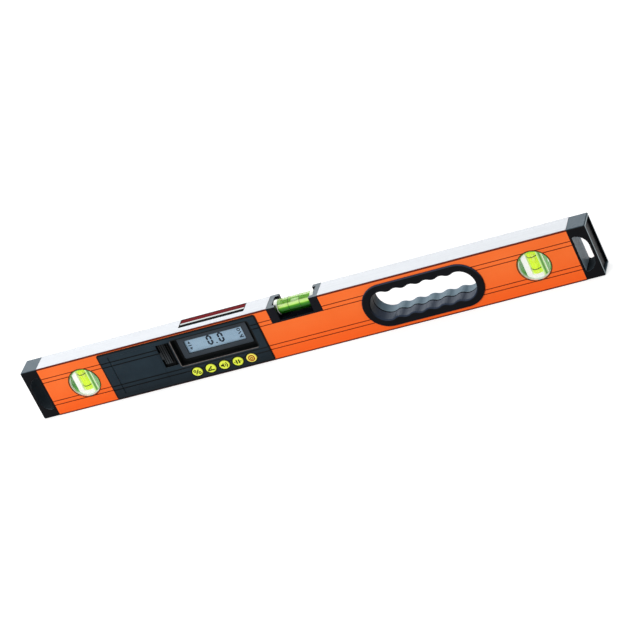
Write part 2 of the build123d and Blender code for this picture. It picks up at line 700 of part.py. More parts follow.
def latch_room():
    """Recess for the latch, with runner grooves above and below and a slot for its nose."""
    room = slab(rect(LATCH_LEFT, LATCH_RIGHT, LATCH_BOTTOM, LATCH_TOP), FACE - LATCH_DEPTH, LATCH_FLOOR)
    groove = rect(LATCH_LEFT, LATCH_RIGHT, LATCH_BOTTOM - LATCH_RUNNER, LATCH_TOP + LATCH_RUNNER)
    room += slab(groove, LATCH_FLOOR - LATCH_SLIDE_THICK - 2 * LATCH_FIT, LATCH_FLOOR)
    nose_z = (LATCH_BOTTOM + LATCH_TOP) / 2
    nose_half = LATCH_NOSE_WIDTH / 2 + LATCH_FIT
    slot = rect(COVER_RIGHT - COVER_LEDGE, LATCH_LEFT, nose_z - nose_half, nose_z + nose_half)
    return room + slab(slot, FACE + LATCH_PAD_SHY, FACE + LATCH_PAD_SHY + LATCH_NOSE_THICK + 2 * LATCH_FIT)


def fascia():
    """Front moulding of the module."""
    outline = rect(FASCIA_LEFT, FASCIA_RIGHT, FASCIA_BOTTOM, FASCIA_TOP, FASCIA_CORNER)
    plate = slab(outline, FACE, FRONT)
    plate = fillet(front_edges(plate), FASCIA_EDGE_ROUND)
    body = rect(BODY_LEFT, BODY_RIGHT, BODY_BOTTOM, BODY_TOP, FASCIA_CORNER - FASCIA_FIT)
    plate += slab(body, FRONT, FASCIA_BACK)
    plate += latch_tray()
    for x, z in housing_screw_places():
        plate += rod(x, z, BOSS_R, FASCIA_BACK, FASCIA_BACK + FASCIA_BOSS_LENGTH)
        plate -= rod(x, z, SCREW_R + SCREW_FIT, FRONT, TUB_BACK)
    plate -= latch_room()
    plate -= slab(rect(COVER_LEFT, COVER_RIGHT, COVER_BOTTOM, COVER_TOP), FACE - COVER_THICK,
                  COVER_BACK + COVER_FIT)
    plate -= slab(
        rect(
            COVER_LEFT + COVER_LEDGE,
            COVER_RIGHT - COVER_LEDGE,
            COVER_BOTTOM + COVER_LEDGE,
            COVER_TOP - COVER_LEDGE,
        ),
        FACE - COVER_THICK,
        FASCIA_BACK + COVER_THICK,
    )
    pin_reach = COVER_PIN_LENGTH + COVER_FIT
    plate -= cover_pin(COVER_PIN_R + COVER_PIN_FIT, COVER_BOTTOM - pin_reach, COVER_TOP + pin_reach)
    gap = FRAME_WALL + FRAME_FIT
    display_opening = rect(
        POCKET_LEFT - gap, POCKET_RIGHT + gap, POCKET_BOTTOM - gap, POCKET_TOP + gap, POCKET_CORNER + gap
    )
    plate -= slab(display_opening, FACE - POCKET_DEPTH, BOARD_FRONT)
    for x in button_places().values():
        plate -= button_oval(x, BUTTON_FIT, FACE - FASCIA_THICK, FASCIA_BACK + FASCIA_THICK)
    heights = groove_heights()
    first_button = min(button_places().values()) - 2 * BUTTON_HALF_LENGTH
    plate -= long_lines(FASCIA_LEFT - LINE_DEPTH, COVER_LEFT, heights)
    plate -= long_lines(COVER_RIGHT, first_button, heights[:2])
    plate -= long_lines(POCKET_RIGHT + gap + LINE_END, FASCIA_RIGHT + LINE_DEPTH, heights[2:])
    return plate


def hinge_x():
    """Place of the battery cover's pins along the level."""
    return COVER_LEFT + COVER_FIT + COVER_THICK / 2


def hinge_y():
    """Depth of the battery cover's pins."""
    return FACE + COVER_THICK / 2


def cover_pin(radius, z0, z1):
    """Round pin on the battery cover's axis."""
    return column(Pos(hinge_x(), hinge_y()) * Circle(radius), z0, z1)


def battery_cover():
    """Cover with a round hinge edge, two pins, moulded lines and inside ribs."""
    left = hinge_x()
    right = COVER_RIGHT - COVER_FIT
    low = COVER_BOTTOM + COVER_FIT
    high = COVER_TOP - COVER_FIT
    cover = block(left, right, FACE, COVER_BACK, low, high)
    cover += cover_pin(COVER_THICK / 2, low, high)
    cover += cover_pin(COVER_PIN_R, COVER_BOTTOM - COVER_PIN_LENGTH, COVER_TOP + COVER_PIN_LENGTH)
    cover -= long_lines(COVER_LEFT, COVER_RIGHT, groove_heights())
    rib_left = COVER_LEFT + 3 * COVER_LEDGE
    rib_right = COVER_RIGHT - 2 * COVER_LEDGE
    for z in (COVER_BOTTOM + 2 * COVER_LEDGE, (COVER_BOTTOM + COVER_TOP) / 2, COVER_TOP - 2 * COVER_LEDGE):
        cover += block(rib_left, rib_right, COVER_BACK, COVER_BACK + COVER_RIB, z - COVER_RIB / 2,
                       z + COVER_RIB / 2)
    return cover


def battery_latch():
    """Sliding latch: runner plate, ribbed thumb pad and a nose towards the cover."""
    left = LATCH_LEFT + LATCH_FIT
    right = left + LATCH_SLIDE_LENGTH
    floor = LATCH_FLOOR - LATCH_FIT
    seat = floor - LATCH_SLIDE_THICK
    reach = LATCH_RUNNER - LATCH_FIT
    latch = slab(rect(left, right, LATCH_BOTTOM - reach, LATCH_TOP + reach), seat, floor)
    pad_left = (left + right - LATCH_PAD_LENGTH) / 2
    pad_front = FACE + LATCH_PAD_SHY
    pad_low = LATCH_BOTTOM + LATCH_PAD_MARGIN
    pad_high = LATCH_TOP - LATCH_FIT
    latch += slab(rect(pad_left, pad_left + LATCH_PAD_LENGTH, pad_low, pad_high), pad_front, seat)
    nose_z = (LATCH_BOTTOM + LATCH_TOP) / 2
    nose = rect(
        COVER_RIGHT - COVER_FIT + LATCH_NOSE_GAP,
        pad_left,
        nose_z - LATCH_NOSE_WIDTH / 2,
        nose_z + LATCH_NOSE_WIDTH / 2,
    )
    nose_front = pad_front + LATCH_FIT
    latch += slab(nose, nose_front, nose_front + LATCH_NOSE_THICK)
    step = LATCH_PAD_LENGTH / LATCH_RIBS
    for i in range(LATCH_RIBS):
        middle = pad_left + step * (i + 0.5)
        groove = rect(middle - LATCH_RIB_WIDTH / 2, middle + LATCH_RIB_WIDTH / 2, pad_low, pad_high)
        latch -= slab(groove, pad_front - LATCH_RIB_DEPTH, pad_front + LATCH_RIB_DEPTH)
    return latch


def module_housing():
    """Tub behind the fascia, with the battery bay, bosses, board posts and clips."""
    outline = rect(BODY_LEFT, BODY_RIGHT, BODY_BOTTOM, BODY_TOP, FASCIA_CORNER - FASCIA_FIT)
    tub = slab(outline, FASCIA_BACK, TUB_BACK)
    room_low = BODY_BOTTOM + TUB_WALL
    room_high = BODY_TOP - TUB_WALL
    rooms = [
        (BODY_LEFT + TUB_WALL, BAY_LEFT - TUB_WALL),
        (BAY_LEFT, BAY_RIGHT),
        (COVER_RIGHT, BODY_RIGHT - TUB_WALL),
    ]
    for left, right in rooms:
        tub -= slab(rect(left, right, room_low, room_high), FASCIA_BACK - TUB_WALL, TUB_FLOOR)
    for x, z in housing_screw_places():
        tub += rod(x, z, BOSS_R, FASCIA_BACK + FASCIA_BOSS_LENGTH, TUB_FLOOR)
        tub -= rod(x, z, SCREW_R + SCREW_FIT, FASCIA_BACK, TUB_BACK + TUB_WALL)
    tub -= button_relief()
    for x, z in board_screw_places():
        tub += rod(x, z, BOSS_R, BOARD_BACK, TUB_FLOOR)
        tub -= rod(x, z, SCREW_R + SCREW_FIT, BOARD_BACK, BOARD_BACK + BOARD_SCREW_LENGTH)
    for z in cell_heights().values():
        cradle = block(
            BAY_LEFT + CELL_LENGTH / 5,
            BAY_RIGHT - CELL_LENGTH / 5,
            CELL_Y,
            TUB_FLOOR,
            z - CELL_R / 2,
            z + CELL_R / 2,
        )
        tub += cradle - bar(Pos(CELL_Y, z) * Circle(CELL_R + CELL_FIT), BAY_LEFT, BAY_RIGHT)
    for x in ((BAY_LEFT + BAY_RIGHT) / 2, DISPLAY_X):
        tub += top_clip(x)
    return tub + end_clip(BODY_LEFT, -TUB_CLIP_REACH) + end_clip(BODY_RIGHT, TUB_CLIP_REACH)


def button_relief():
    """Opening along the front of the tub's lower wall, clear of the pressed buttons."""
    places = button_places().values()
    reach = BUTTON_HALF_LENGTH + BUTTON_FIT + BUTTON_COLLAR + BUTTON_STOP_GAP
    depth = BUTTON_COLLAR_GAP + BUTTON_COLLAR + BUTTON_TRAVEL + BUTTON_STOP_GAP
    return block(
        min(places) - reach, max(places) + reach, FASCIA_BACK - depth, FASCIA_BACK + depth, 0, BUTTON_Z
    )


def clip_outline(edge, reach):
    """Wedge of a clip: depth first, then its reach over the beam's wall."""
    behind = FRONT + BEAM_SIDE_WALL + TUB_CLIP_GAP
    return [
        (behind, edge),
        (behind, edge + reach),
        (behind + TUB_CLIP_THICK, edge + reach),
        (behind + 2 * TUB_CLIP_THICK, edge),
    ]


def top_clip(x):
    """Clip over the upper edge of the beam's opening."""
    wedge = make_face(Polyline(*clip_outline(BODY_TOP, TUB_CLIP_REACH), close=True))
    return bar(wedge, x - TUB_CLIP_LENGTH / 2, x + TUB_CLIP_LENGTH / 2)


def end_clip(edge, reach):
    """Clip over one end of the beam's opening."""
    corners = [(x, y) for y, x in clip_outline(edge, reach)]
    wedge = make_face(Polyline(*corners, close=True))
    return column(wedge, MIDDLE_Z - TUB_CLIP_LENGTH / 2, MIDDLE_Z + TUB_CLIP_LENGTH / 2)


def battery_cell(z, turned):
    """AAA cell along X with its contact nub."""
    start = BAY_LEFT + CONTACT_DEPTH
    can = start + CELL_LENGTH - CELL_NUB_LENGTH
    circle = Pos(CELL_Y, z) * Circle(CELL_R)
    cell = bar(circle, start, can)
    cell = fillet(cell.edges(), CELL_NUB_LENGTH / 2)
    cell += bar(Pos(CELL_Y, z) * Circle(CELL_NUB_R), can, start + CELL_LENGTH)
    if turned:
        middle = start + CELL_LENGTH / 2
        cell = Pos(middle, 0, 0) * Rot(0, 0, 180) * Pos(-middle, 0, 0) * cell
        cell = Pos(0, 2 * CELL_Y, 0) * cell
    return cell


def contact_leaf(z):
    """Bowed leaf spring on the bay's left wall."""
    spring = CONTACT_DEPTH - CELL_FIT
    foot = BAY_LEFT + CONTACT_SHEET
    half = CONTACT_WIDTH / 2
    outer = ThreePointArc((foot, CELL_Y - half), (BAY_LEFT + spring, CELL_Y), (foot, CELL_Y + half))
    inner = ThreePointArc(
        (foot, CELL_Y + half - CONTACT_SHEET),
        (BAY_LEFT + spring - CONTACT_SHEET, CELL_Y),
        (foot, CELL_Y - half + CONTACT_SHEET),
    )
    closing = Line(outer @ 1, inner @ 0) + Line(inner @ 1, outer @ 0)
    return column(make_face(outer + inner + closing), z - half, z + half)


def contact_sheet(z0, z1):
    """Flat sheet of a contact on the bay's left wall."""
    half = CONTACT_WIDTH / 2
    return block(BAY_LEFT, BAY_LEFT + CONTACT_SHEET, CELL_Y - half, CELL_Y + half, z0 - half, z1 + half)


def link_contact():
    """One sheet that joins both cells at the left."""
    low, high = sorted(cell_heights().values())
    return contact_sheet(low, high) + contact_leaf(low) + contact_leaf(high)


def end_contacts():
    """Two single contacts at the right, turned towards the cells."""
    middle = (BAY_LEFT + BAY_RIGHT) / 2
    turn = Pos(middle, CELL_Y, 0) * Rot(0, 0, 180) * Pos(-middle, -CELL_Y, 0)
    return [turn * (contact_sheet(z, z) + contact_leaf(z)) for z in cell_heights().values()]


def display_frame():
    """Deep frame that lines the display pocket."""
    outer = rect(
        POCKET_LEFT - FRAME_WALL,
        POCKET_RIGHT + FRAME_WALL,
        POCKET_BOTTOM - FRAME_WALL,
        POCKET_TOP + FRAME_WALL,
        POCKET_CORNER + FRAME_WALL,
    )
    inner = rect(POCKET_LEFT, POCKET_RIGHT, POCKET_BOTTOM, POCKET_TOP, POCKET_CORNER)
    frame = slab(outer, FACE, BEZEL_BACK + FRAME_FLOOR) - slab(inner, FACE - POCKET_DEPTH, BEZEL_BACK)
    return frame - slab(view_area(LCD_LAP + WINDOW_FIT), BEZEL_FRONT, BOARD_FRONT)


def view_area(lap, height_lap=None):
    """Viewing area of the display, widened by a lap."""
    rise = lap if height_lap is None else height_lap
    return Pos(DISPLAY_X, VIEW_Z) * Rectangle(VIEW_LENGTH + 2 * lap, VIEW_HEIGHT + 2 * rise)


def display_bezel():
    """Plate round the viewing area, rebated behind for the clear window."""
    outline = rect(BEZEL_LEFT, BEZEL_RIGHT, BEZEL_BOTTOM, BEZEL_TOP, POCKET_CORNER)
    plate = slab(outline, BEZEL_FRONT, BEZEL_BACK)
    plate = fillet(front_edges(plate), BEZEL_EDGE_ROUND)
    plate -= slab(view_area(0), BEZEL_FRONT - BEZEL_THICK, BEZEL_BACK + BEZEL_THICK)
    rebate = BEZEL_BACK - WINDOW_THICK - WINDOW_FIT
    return plate - slab(view_area(WINDOW_LAP), rebate, BEZEL_BACK + BEZEL_THICK)


def backlight():
    """Light box between the display and the board."""
    inset = STRIP_WIDTH + STRIP_GAP - LCD_LAP
    return slab(view_area(0, -inset), LCD_BACK, BOARD_FRONT)


def contact_strips():
    """Rubber contact strips along the display's upper and lower edges."""
    half = LCD_HEIGHT / 2 - STRIP_WIDTH / 2
    strip = Rectangle(VIEW_LENGTH, STRIP_WIDTH)
    return [slab(Pos(DISPLAY_X, VIEW_Z + side * half) * strip, LCD_BACK, BOARD_FRONT) for side in (-1, 1)]


def circuit_board():
    """Board on the tub's posts."""
    board = slab(rect(BOARD_LEFT, BOARD_RIGHT, BOARD_BOTTOM, BOARD_TOP), BOARD_FRONT, BOARD_BACK)
    for x, z in board_screw_places():
        board -= rod(x, z, SCREW_R + SCREW_FIT, BOARD_FRONT - BOARD_THICK, BOARD_BACK + BOARD_THICK)
    return board


def board_screw(x, z):
    """Pan-head screw through the board into its post."""
    screw = rod(x, z, SCREW_R, BOARD_FRONT, BOARD_BACK + BOARD_SCREW_LENGTH - SCREW_FIT)
    return screw + rod(x, z, SCREW_HEAD_R, BOARD_FRONT - SCREW_HEAD_HEIGHT, BOARD_FRONT)


def housing_screw(x, z):
    """Pan-head screw from behind the tub into the fascia's boss."""
    screw = rod(x, z, SCREW_R, FASCIA_BACK, TUB_BACK)
    return screw + rod(x, z, SCREW_HEAD_R, TUB_BACK, TUB_BACK + SCREW_HEAD_HEIGHT)


def board_part_x():
    """Middle of the strip of board between the battery bay and the display."""
    return (BOARD_LEFT + POCKET_LEFT) / 2


def tilt_sensor():
    """Sensor chip behind the latch tray."""
    x = board_part_x()
    half = SENSOR_SIZE / 2
    return slab(rect(x - half, x + half, MIDDLE_Z - half, MIDDLE_Z + half), BOARD_FRONT - SENSOR_THICK,
                BOARD_FRONT)


def processor_chip():
    """Chip on the back of the board."""
    half = CHIP_SIZE / 2
    area = rect(DISPLAY_X - half, DISPLAY_X + half, MIDDLE_Z - half, MIDDLE_Z + half)
    return slab(area, BOARD_BACK, BOARD_BACK + CHIP_THICK)


def buzzer():
    """Round sounder, with its sound hole, above the lower left board screw."""
    x = board_part_x()
    z = BOARD_BOTTOM + BOARD_SCREW_INSET + SCREW_HEAD_R + BUZZER_GAP + BUZZER_R
    can = rod(x, z, BUZZER_R, BOARD_FRONT - BUZZER_HEIGHT, BOARD_FRONT)
    return can - rod(x, z, BUZZER_HOLE_R, BOARD_FRONT - BUZZER_HEIGHT, BOARD_FRONT - BUZZER_HEIGHT / 2)


def key_switch(x):
    """Square push switch with a round plunger."""
    half = SWITCH_SIZE / 2
    body = slab(rect(x - half, x + half, BUTTON_Z - half, BUTTON_Z + half), BOARD_FRONT - SWITCH_HEIGHT,
                BOARD_FRONT)
    top = BOARD_FRONT - SWITCH_HEIGHT
    return body + rod(x, BUTTON_Z, PLUNGER_R, top - PLUNGER_HEIGHT, top)


def button(x):
    """Push button: oval cap, collar behind the fascia and a stem to its switch."""
    cap = button_oval(x, 0, FACE - BUTTON_PROUD, FASCIA_BACK + BUTTON_COLLAR_GAP)
    cap = fillet(front_edges(cap), BUTTON_EDGE_ROUND)
    collar_front = FASCIA_BACK + BUTTON_COLLAR_GAP
    collar_back = collar_front + BUTTON_COLLAR
    cap += button_oval(x, BUTTON_FIT + BUTTON_COLLAR, collar_front, collar_back)
    plunger = BOARD_FRONT - SWITCH_HEIGHT - PLUNGER_HEIGHT
    return cap + rod(x, BUTTON_Z, BUTTON_STEM_R, collar_back, plunger - BUTTON_TRAVEL - BUTTON_STOP_GAP)


def top_window_rows():
    """Depths of the red lens and the white strip inside the window frame."""
    front = TOP_WINDOW_SHIFT_Y - TOP_WINDOW_WIDTH / 2 + TOP_FRAME_FRONT + TOP_WINDOW_FIT
    rear = TOP_WINDOW_SHIFT_Y + TOP_WINDOW_WIDTH / 2 - TOP_FRAME_SIDE - TOP_WINDOW_FIT
    split = rear - TOP_LENS_SHARE_WIDTH
    return {"lens": (split, rear), "diffuser": (front, split - TOP_WINDOW_FIT)}


def top_window_frame():
    """Black frame in the top edge, wider along its front."""
    low = BEAM_HEIGHT - TOP_WINDOW_DEPTH
    high = BEAM_HEIGHT - TOP_WINDOW_SHY
    frame = column(top_window_area(TOP_WINDOW_FIT), low, high)
    half = TOP_WINDOW_LENGTH / 2 - TOP_FRAME_SIDE
    middle = DISPLAY_X + TOP_WINDOW_SHIFT_X
    front = TOP_WINDOW_SHIFT_Y - TOP_WINDOW_WIDTH / 2 + TOP_FRAME_FRONT
    rear = TOP_WINDOW_SHIFT_Y + TOP_WINDOW_WIDTH / 2 - TOP_FRAME_SIDE
    return frame - block(middle - half, middle + half, front, rear, 0, 2 * BEAM_HEIGHT)


def top_window_strip(row):
    """Lens or white strip inside the window frame."""
    front, rear = top_window_rows()[row]
    half = TOP_WINDOW_LENGTH / 2 - TOP_FRAME_SIDE - TOP_WINDOW_FIT
    middle = DISPLAY_X + TOP_WINDOW_SHIFT_X
    low = BEAM_HEIGHT - TOP_WINDOW_DEPTH
    return block(middle - half, middle + half, front, rear, low, BEAM_HEIGHT - TOP_WINDOW_SHY)


def all_nodes():
    """Every piece of the level, by node name."""
    cap = end_cap()
    grip = grip_half()
    nodes = {
        "beam": beam(),
        "end_cap_right": cap,
        "end_cap_left": mirror(cap, about=Plane.YZ),
        "grip_front_half": grip,
        "grip_rear_half": mirror(grip, about=Plane.XZ),
        "level_holder": level_holder(),
        "level_vial": level_vial(),
        "level_plugs": Compound(children=level_plugs()),
        "level_rings": Compound(children=level_rings()),
        "level_bubble": level_bubble(),
        "fascia": fascia(),
        "module_housing": module_housing(),
        "battery_cover": battery_cover(),
        "battery_latch": battery_latch(),
        "battery_link_contact": link_contact(),
        "battery_end_contacts": Compound(children=end_contacts()),
        "display_frame": display_frame(),
        "display_bezel": display_bezel(),
        "display_window": slab(
            view_area(WINDOW_LAP - WINDOW_FIT), BEZEL_BACK - WINDOW_THICK, BEZEL_BACK
        ),
        "lcd_panel": slab(view_area(LCD_LAP), BEZEL_BACK, LCD_BACK),
        "backlight": backlight(),
        "contact_strips": Compound(children=contact_strips()),
        "circuit_board": circuit_board(),
        "tilt_sensor": tilt_sensor(),
        "processor_chip": processor_chip(),
        "buzzer": buzzer(),
        "key_switches": Compound(children=[key_switch(x) for x in button_places().values()]),
        "board_screws": Compound(children=[board_screw(x, z) for x, z in board_screw_places()]),
        "housing_screws": Compound(children=[housing_screw(x, z) for x, z in housing_screw_places()]),
        "top_window_frame": top_window_frame(),
        "top_window_lens": top_window_strip("lens"),
        "top_window_diffuser": top_window_strip("diffuser"),
    }
    for side, x in plumb_places().items():
        for name, piece in plumb_unit(x).items():
            nodes[f"plumb_{side}_{name}"] = piece
    for row, z in cell_heights().items():
        nodes[f"battery_{row}"] = battery_cell(z, turned=row == "lower")
    for name, x in button_places().items():
        nodes[f"{name}_button"] = button(x)
    return nodes


def main():
    os.makedirs("parts", exist_ok=True)
    for name, shape in all_nodes().items():
        export_step(shape, f"parts/{name}.step")


main()
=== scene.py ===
import math

import bmesh
import bpy
from mathutils import Matrix, Vector


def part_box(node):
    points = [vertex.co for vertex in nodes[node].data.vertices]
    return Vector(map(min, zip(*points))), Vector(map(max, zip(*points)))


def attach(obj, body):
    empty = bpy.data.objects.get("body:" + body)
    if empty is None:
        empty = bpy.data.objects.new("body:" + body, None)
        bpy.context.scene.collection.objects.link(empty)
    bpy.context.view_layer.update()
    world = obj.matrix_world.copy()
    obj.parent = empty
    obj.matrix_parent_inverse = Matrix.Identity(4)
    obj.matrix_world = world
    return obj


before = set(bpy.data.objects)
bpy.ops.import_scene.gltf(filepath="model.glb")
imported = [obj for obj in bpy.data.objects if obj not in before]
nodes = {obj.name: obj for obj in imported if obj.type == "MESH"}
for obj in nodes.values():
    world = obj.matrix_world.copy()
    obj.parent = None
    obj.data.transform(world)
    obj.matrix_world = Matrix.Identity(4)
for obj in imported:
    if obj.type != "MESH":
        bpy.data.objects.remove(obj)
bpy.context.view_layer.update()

# Lengths are in metres, and those of the printed marks in millimetres
MM = 0.001

# Camera, from the straight edges of the level in the photograph
CAMERA_LENS = 171.25
CAMERA_SENSOR = 36.0
CAMERA_PLACE = Vector((1.09418, -2.34175, 1.30161))
CAMERA_FORWARD = Vector((-0.37623, 0.81414, -0.44230))
CAMERA_UP = Vector((0.23397, 0.54538, 0.80487))

# Studio, with a row for each lamp: name, place, width and height, brightness, colour
FLOOR_SIZE = 12.0
FLOOR_DROP = 0.0003
FLOOR_GLOW = 0.66
FLOOR_GREY = 0.60
WORLD_FILL = 0.50
LAMP_TARGET = Vector((0, 0, 0.03))
LAMPS = (
    ("front_box", (-0.6, -2.0, 1.3), (1.8, 1.4), 4.4, (1.0, 1.0, 1.0)),
    ("rear_box", (-0.6, 1.3, 0.8), (1.8, 1.0), 3.4, (0.90, 0.96, 1.0)),
)

# Beam: the bare strip and the painted shade along the paint's edge are measured from the milled
# faces
BEAM_HALF_HEIGHT = 0.0285
BARE_DEPTH = 0.0001
PAINTED_EDGE_SHADE = 0.0018
# The paint is redder below this height and paler above it: painted light falling from above
PAINT_LIT_HEIGHT = 0.0342
MILLED_METALLIC = 0.2
BELOW_BEAM_SIDES = 0.0119
ANY_DEPTH = 1.0
GROOVE_HEIGHTS = (0.0126, 0.0171, 0.0399, 0.0444)
GROOVE_HALF = 0.0006

# Module
MODULE_LEFT, MODULE_RIGHT = -0.2148, -0.0405
MODULE_BOTTOM, MODULE_TOP = 0.0012, 0.0548
MODULE_FRONT = 0.013
MODULE_RIM = 0.0016
MODULE_RECESS = 0.0006
MODULE_SHADE = 0.6
MODULE_SHADE_LOW, MODULE_SHADE_HIGH = 0.004, 0.020
POCKET_LEFT, POCKET_BOTTOM = -0.1345, 0.0200
POCKET_RIM = 0.0003
LATCH_TRAY_LEFT = -0.1535
LATCH_FRONT = 0.0118
# Heights over which the painted highlight on the latch pad fades
LATCH_HIGHLIGHT_LOW, LATCH_HIGHLIGHT_HIGH = 0.026, 0.042
LATCH_HIGHLIGHT_LEAST = 0.2
BUTTON_FIRST, BUTTON_LAST = -0.1221, -0.0629
BUTTON_PITCH, BUTTON_HEIGHT = 0.0148, 0.0100
BUTTON_RING_LENGTH, BUTTON_RING_HEIGHT = 0.0067, 0.0059
OPAL_DARK_END = 0.0011

# End caps with their hang holes, and the grip
CAP_END = 0.300
CAP_RIM = 0.0003
HOLE_START, HOLE_END = 0.2835, 0.2975
HOLE_FLAT_END = 0.289
HOLE_HALF_HEIGHT = 0.0205
HOLE_HALF_DEPTH = 0.0115
HOLE_DULLNESS = 0.6
PARTING_HALF = 0.0008

# Plumb units
PLUMB_X = 0.23975
PLUMB_Z = 0.029
PLUMB_BORE = 0.016
PLUMB_VIAL_Y = -0.0055
PLUMB_CAVITY_R = 0.0033
PLUMB_WALL_CLEAR, PLUMB_CAVITY_CLEAR = 0.36, 0.92
LENS_ALPHA, LENS_RIM_ALPHA, LENS_GLINT_ALPHA = 0.03, 0.8, 0.6
GLINT_INSET, GLINT_HALF, GLINT_LIMIT = 0.0014, 0.0004, -0.004
CARRIER_SHADE_START, CARRIER_SHADE_END = 0.0045, 0.0105

# Level vial and its holder
LEVEL_Z = 0.0492
LEVEL_R = 0.0075
LEVEL_CAVITY_R = 0.0060
LEVEL_WANDER = 0.0012
POST_TOPS = 0.0532

# Surfaces: depths of fine relief, ranges of noise and gloss, and how far noises are stretched
SPARK_DEPTH = 0.00004
PEEL_DEPTH = 0.00003
WAVE_DEPTH = 0.00002
FINE_DEPTH = 0.00001
NOISE_LOW, NOISE_HIGH = 0.3, 0.7
MOULD_GRAIN, MOULD_LEVEL, MOULD_SWING = 2600, 0.12, 0.05
METAL_SWING = 0.06
ACRYLIC_WAVE = 0.15
MILLING_STRETCH = (14, 2600, 2600)
DRAWING_STRETCH = (40, 900, 900)
BARREL_STRETCH = (260, 260, 40)
FLUID_STRETCH = (900, 900, 30)
CLEAR_POLISH = {"low": 0.04, "high": 0.07, "patch": 90, "wave": 60}
LINE_POLISH = {"low": 0.30, "high": 0.33, "patch": 90, "wave": 60}
VIAL_POLISH = {"low": 0.10, "high": 0.16, "patch": 80, "wave": 90}
BUBBLE_POLISH = {"low": 0.05, "high": 0.10, "patch": 90, "wave": 200}

# Printed marks, in millimetres apart from the thicknesses
DIGIT_WIDTH = 3.9
DIGIT_HEIGHT = 9.4
DIGIT_PITCH = 12.2
DIGIT_SHIFT = 0.25
DIGIT_RISE = 0.6
STROKE = 2.0
STROKE_GAP = 0.06
DOT_HALF = 0.7
POINTERS_X, SYMBOLS_X = -27.4, 27.2
DISPLAY_PRINT = 0.00005
BUTTON_PRINT = 0.00006
SUNK_SHARE = 0.2
SEGMENTS = {
    "top": ((0, 2), (1, 2)), "upper_left": ((0, 1), (0, 2)), "upper_right": ((1, 1), (1, 2)),
    "lower_left": ((0, 0), (0, 1)), "lower_right": ((1, 0), (1, 1)), "bottom": ((0, 0), (1, 0)),
}

# Places of the colour sockets on a Mix node
COLOUR_A, COLOUR_B, COLOUR_RESULT = 6, 7, 2


def srgb(red, green, blue):
    """A colour given as it shows on a screen, as the linear colour that a shader takes."""
    def linear(value):
        value = value / 255
        return value / 12.92 if value <= 0.04045 else ((value + 0.055) / 1.055) ** 2.4
    return (linear(red), linear(green), linear(blue), 1.0)


# Materials

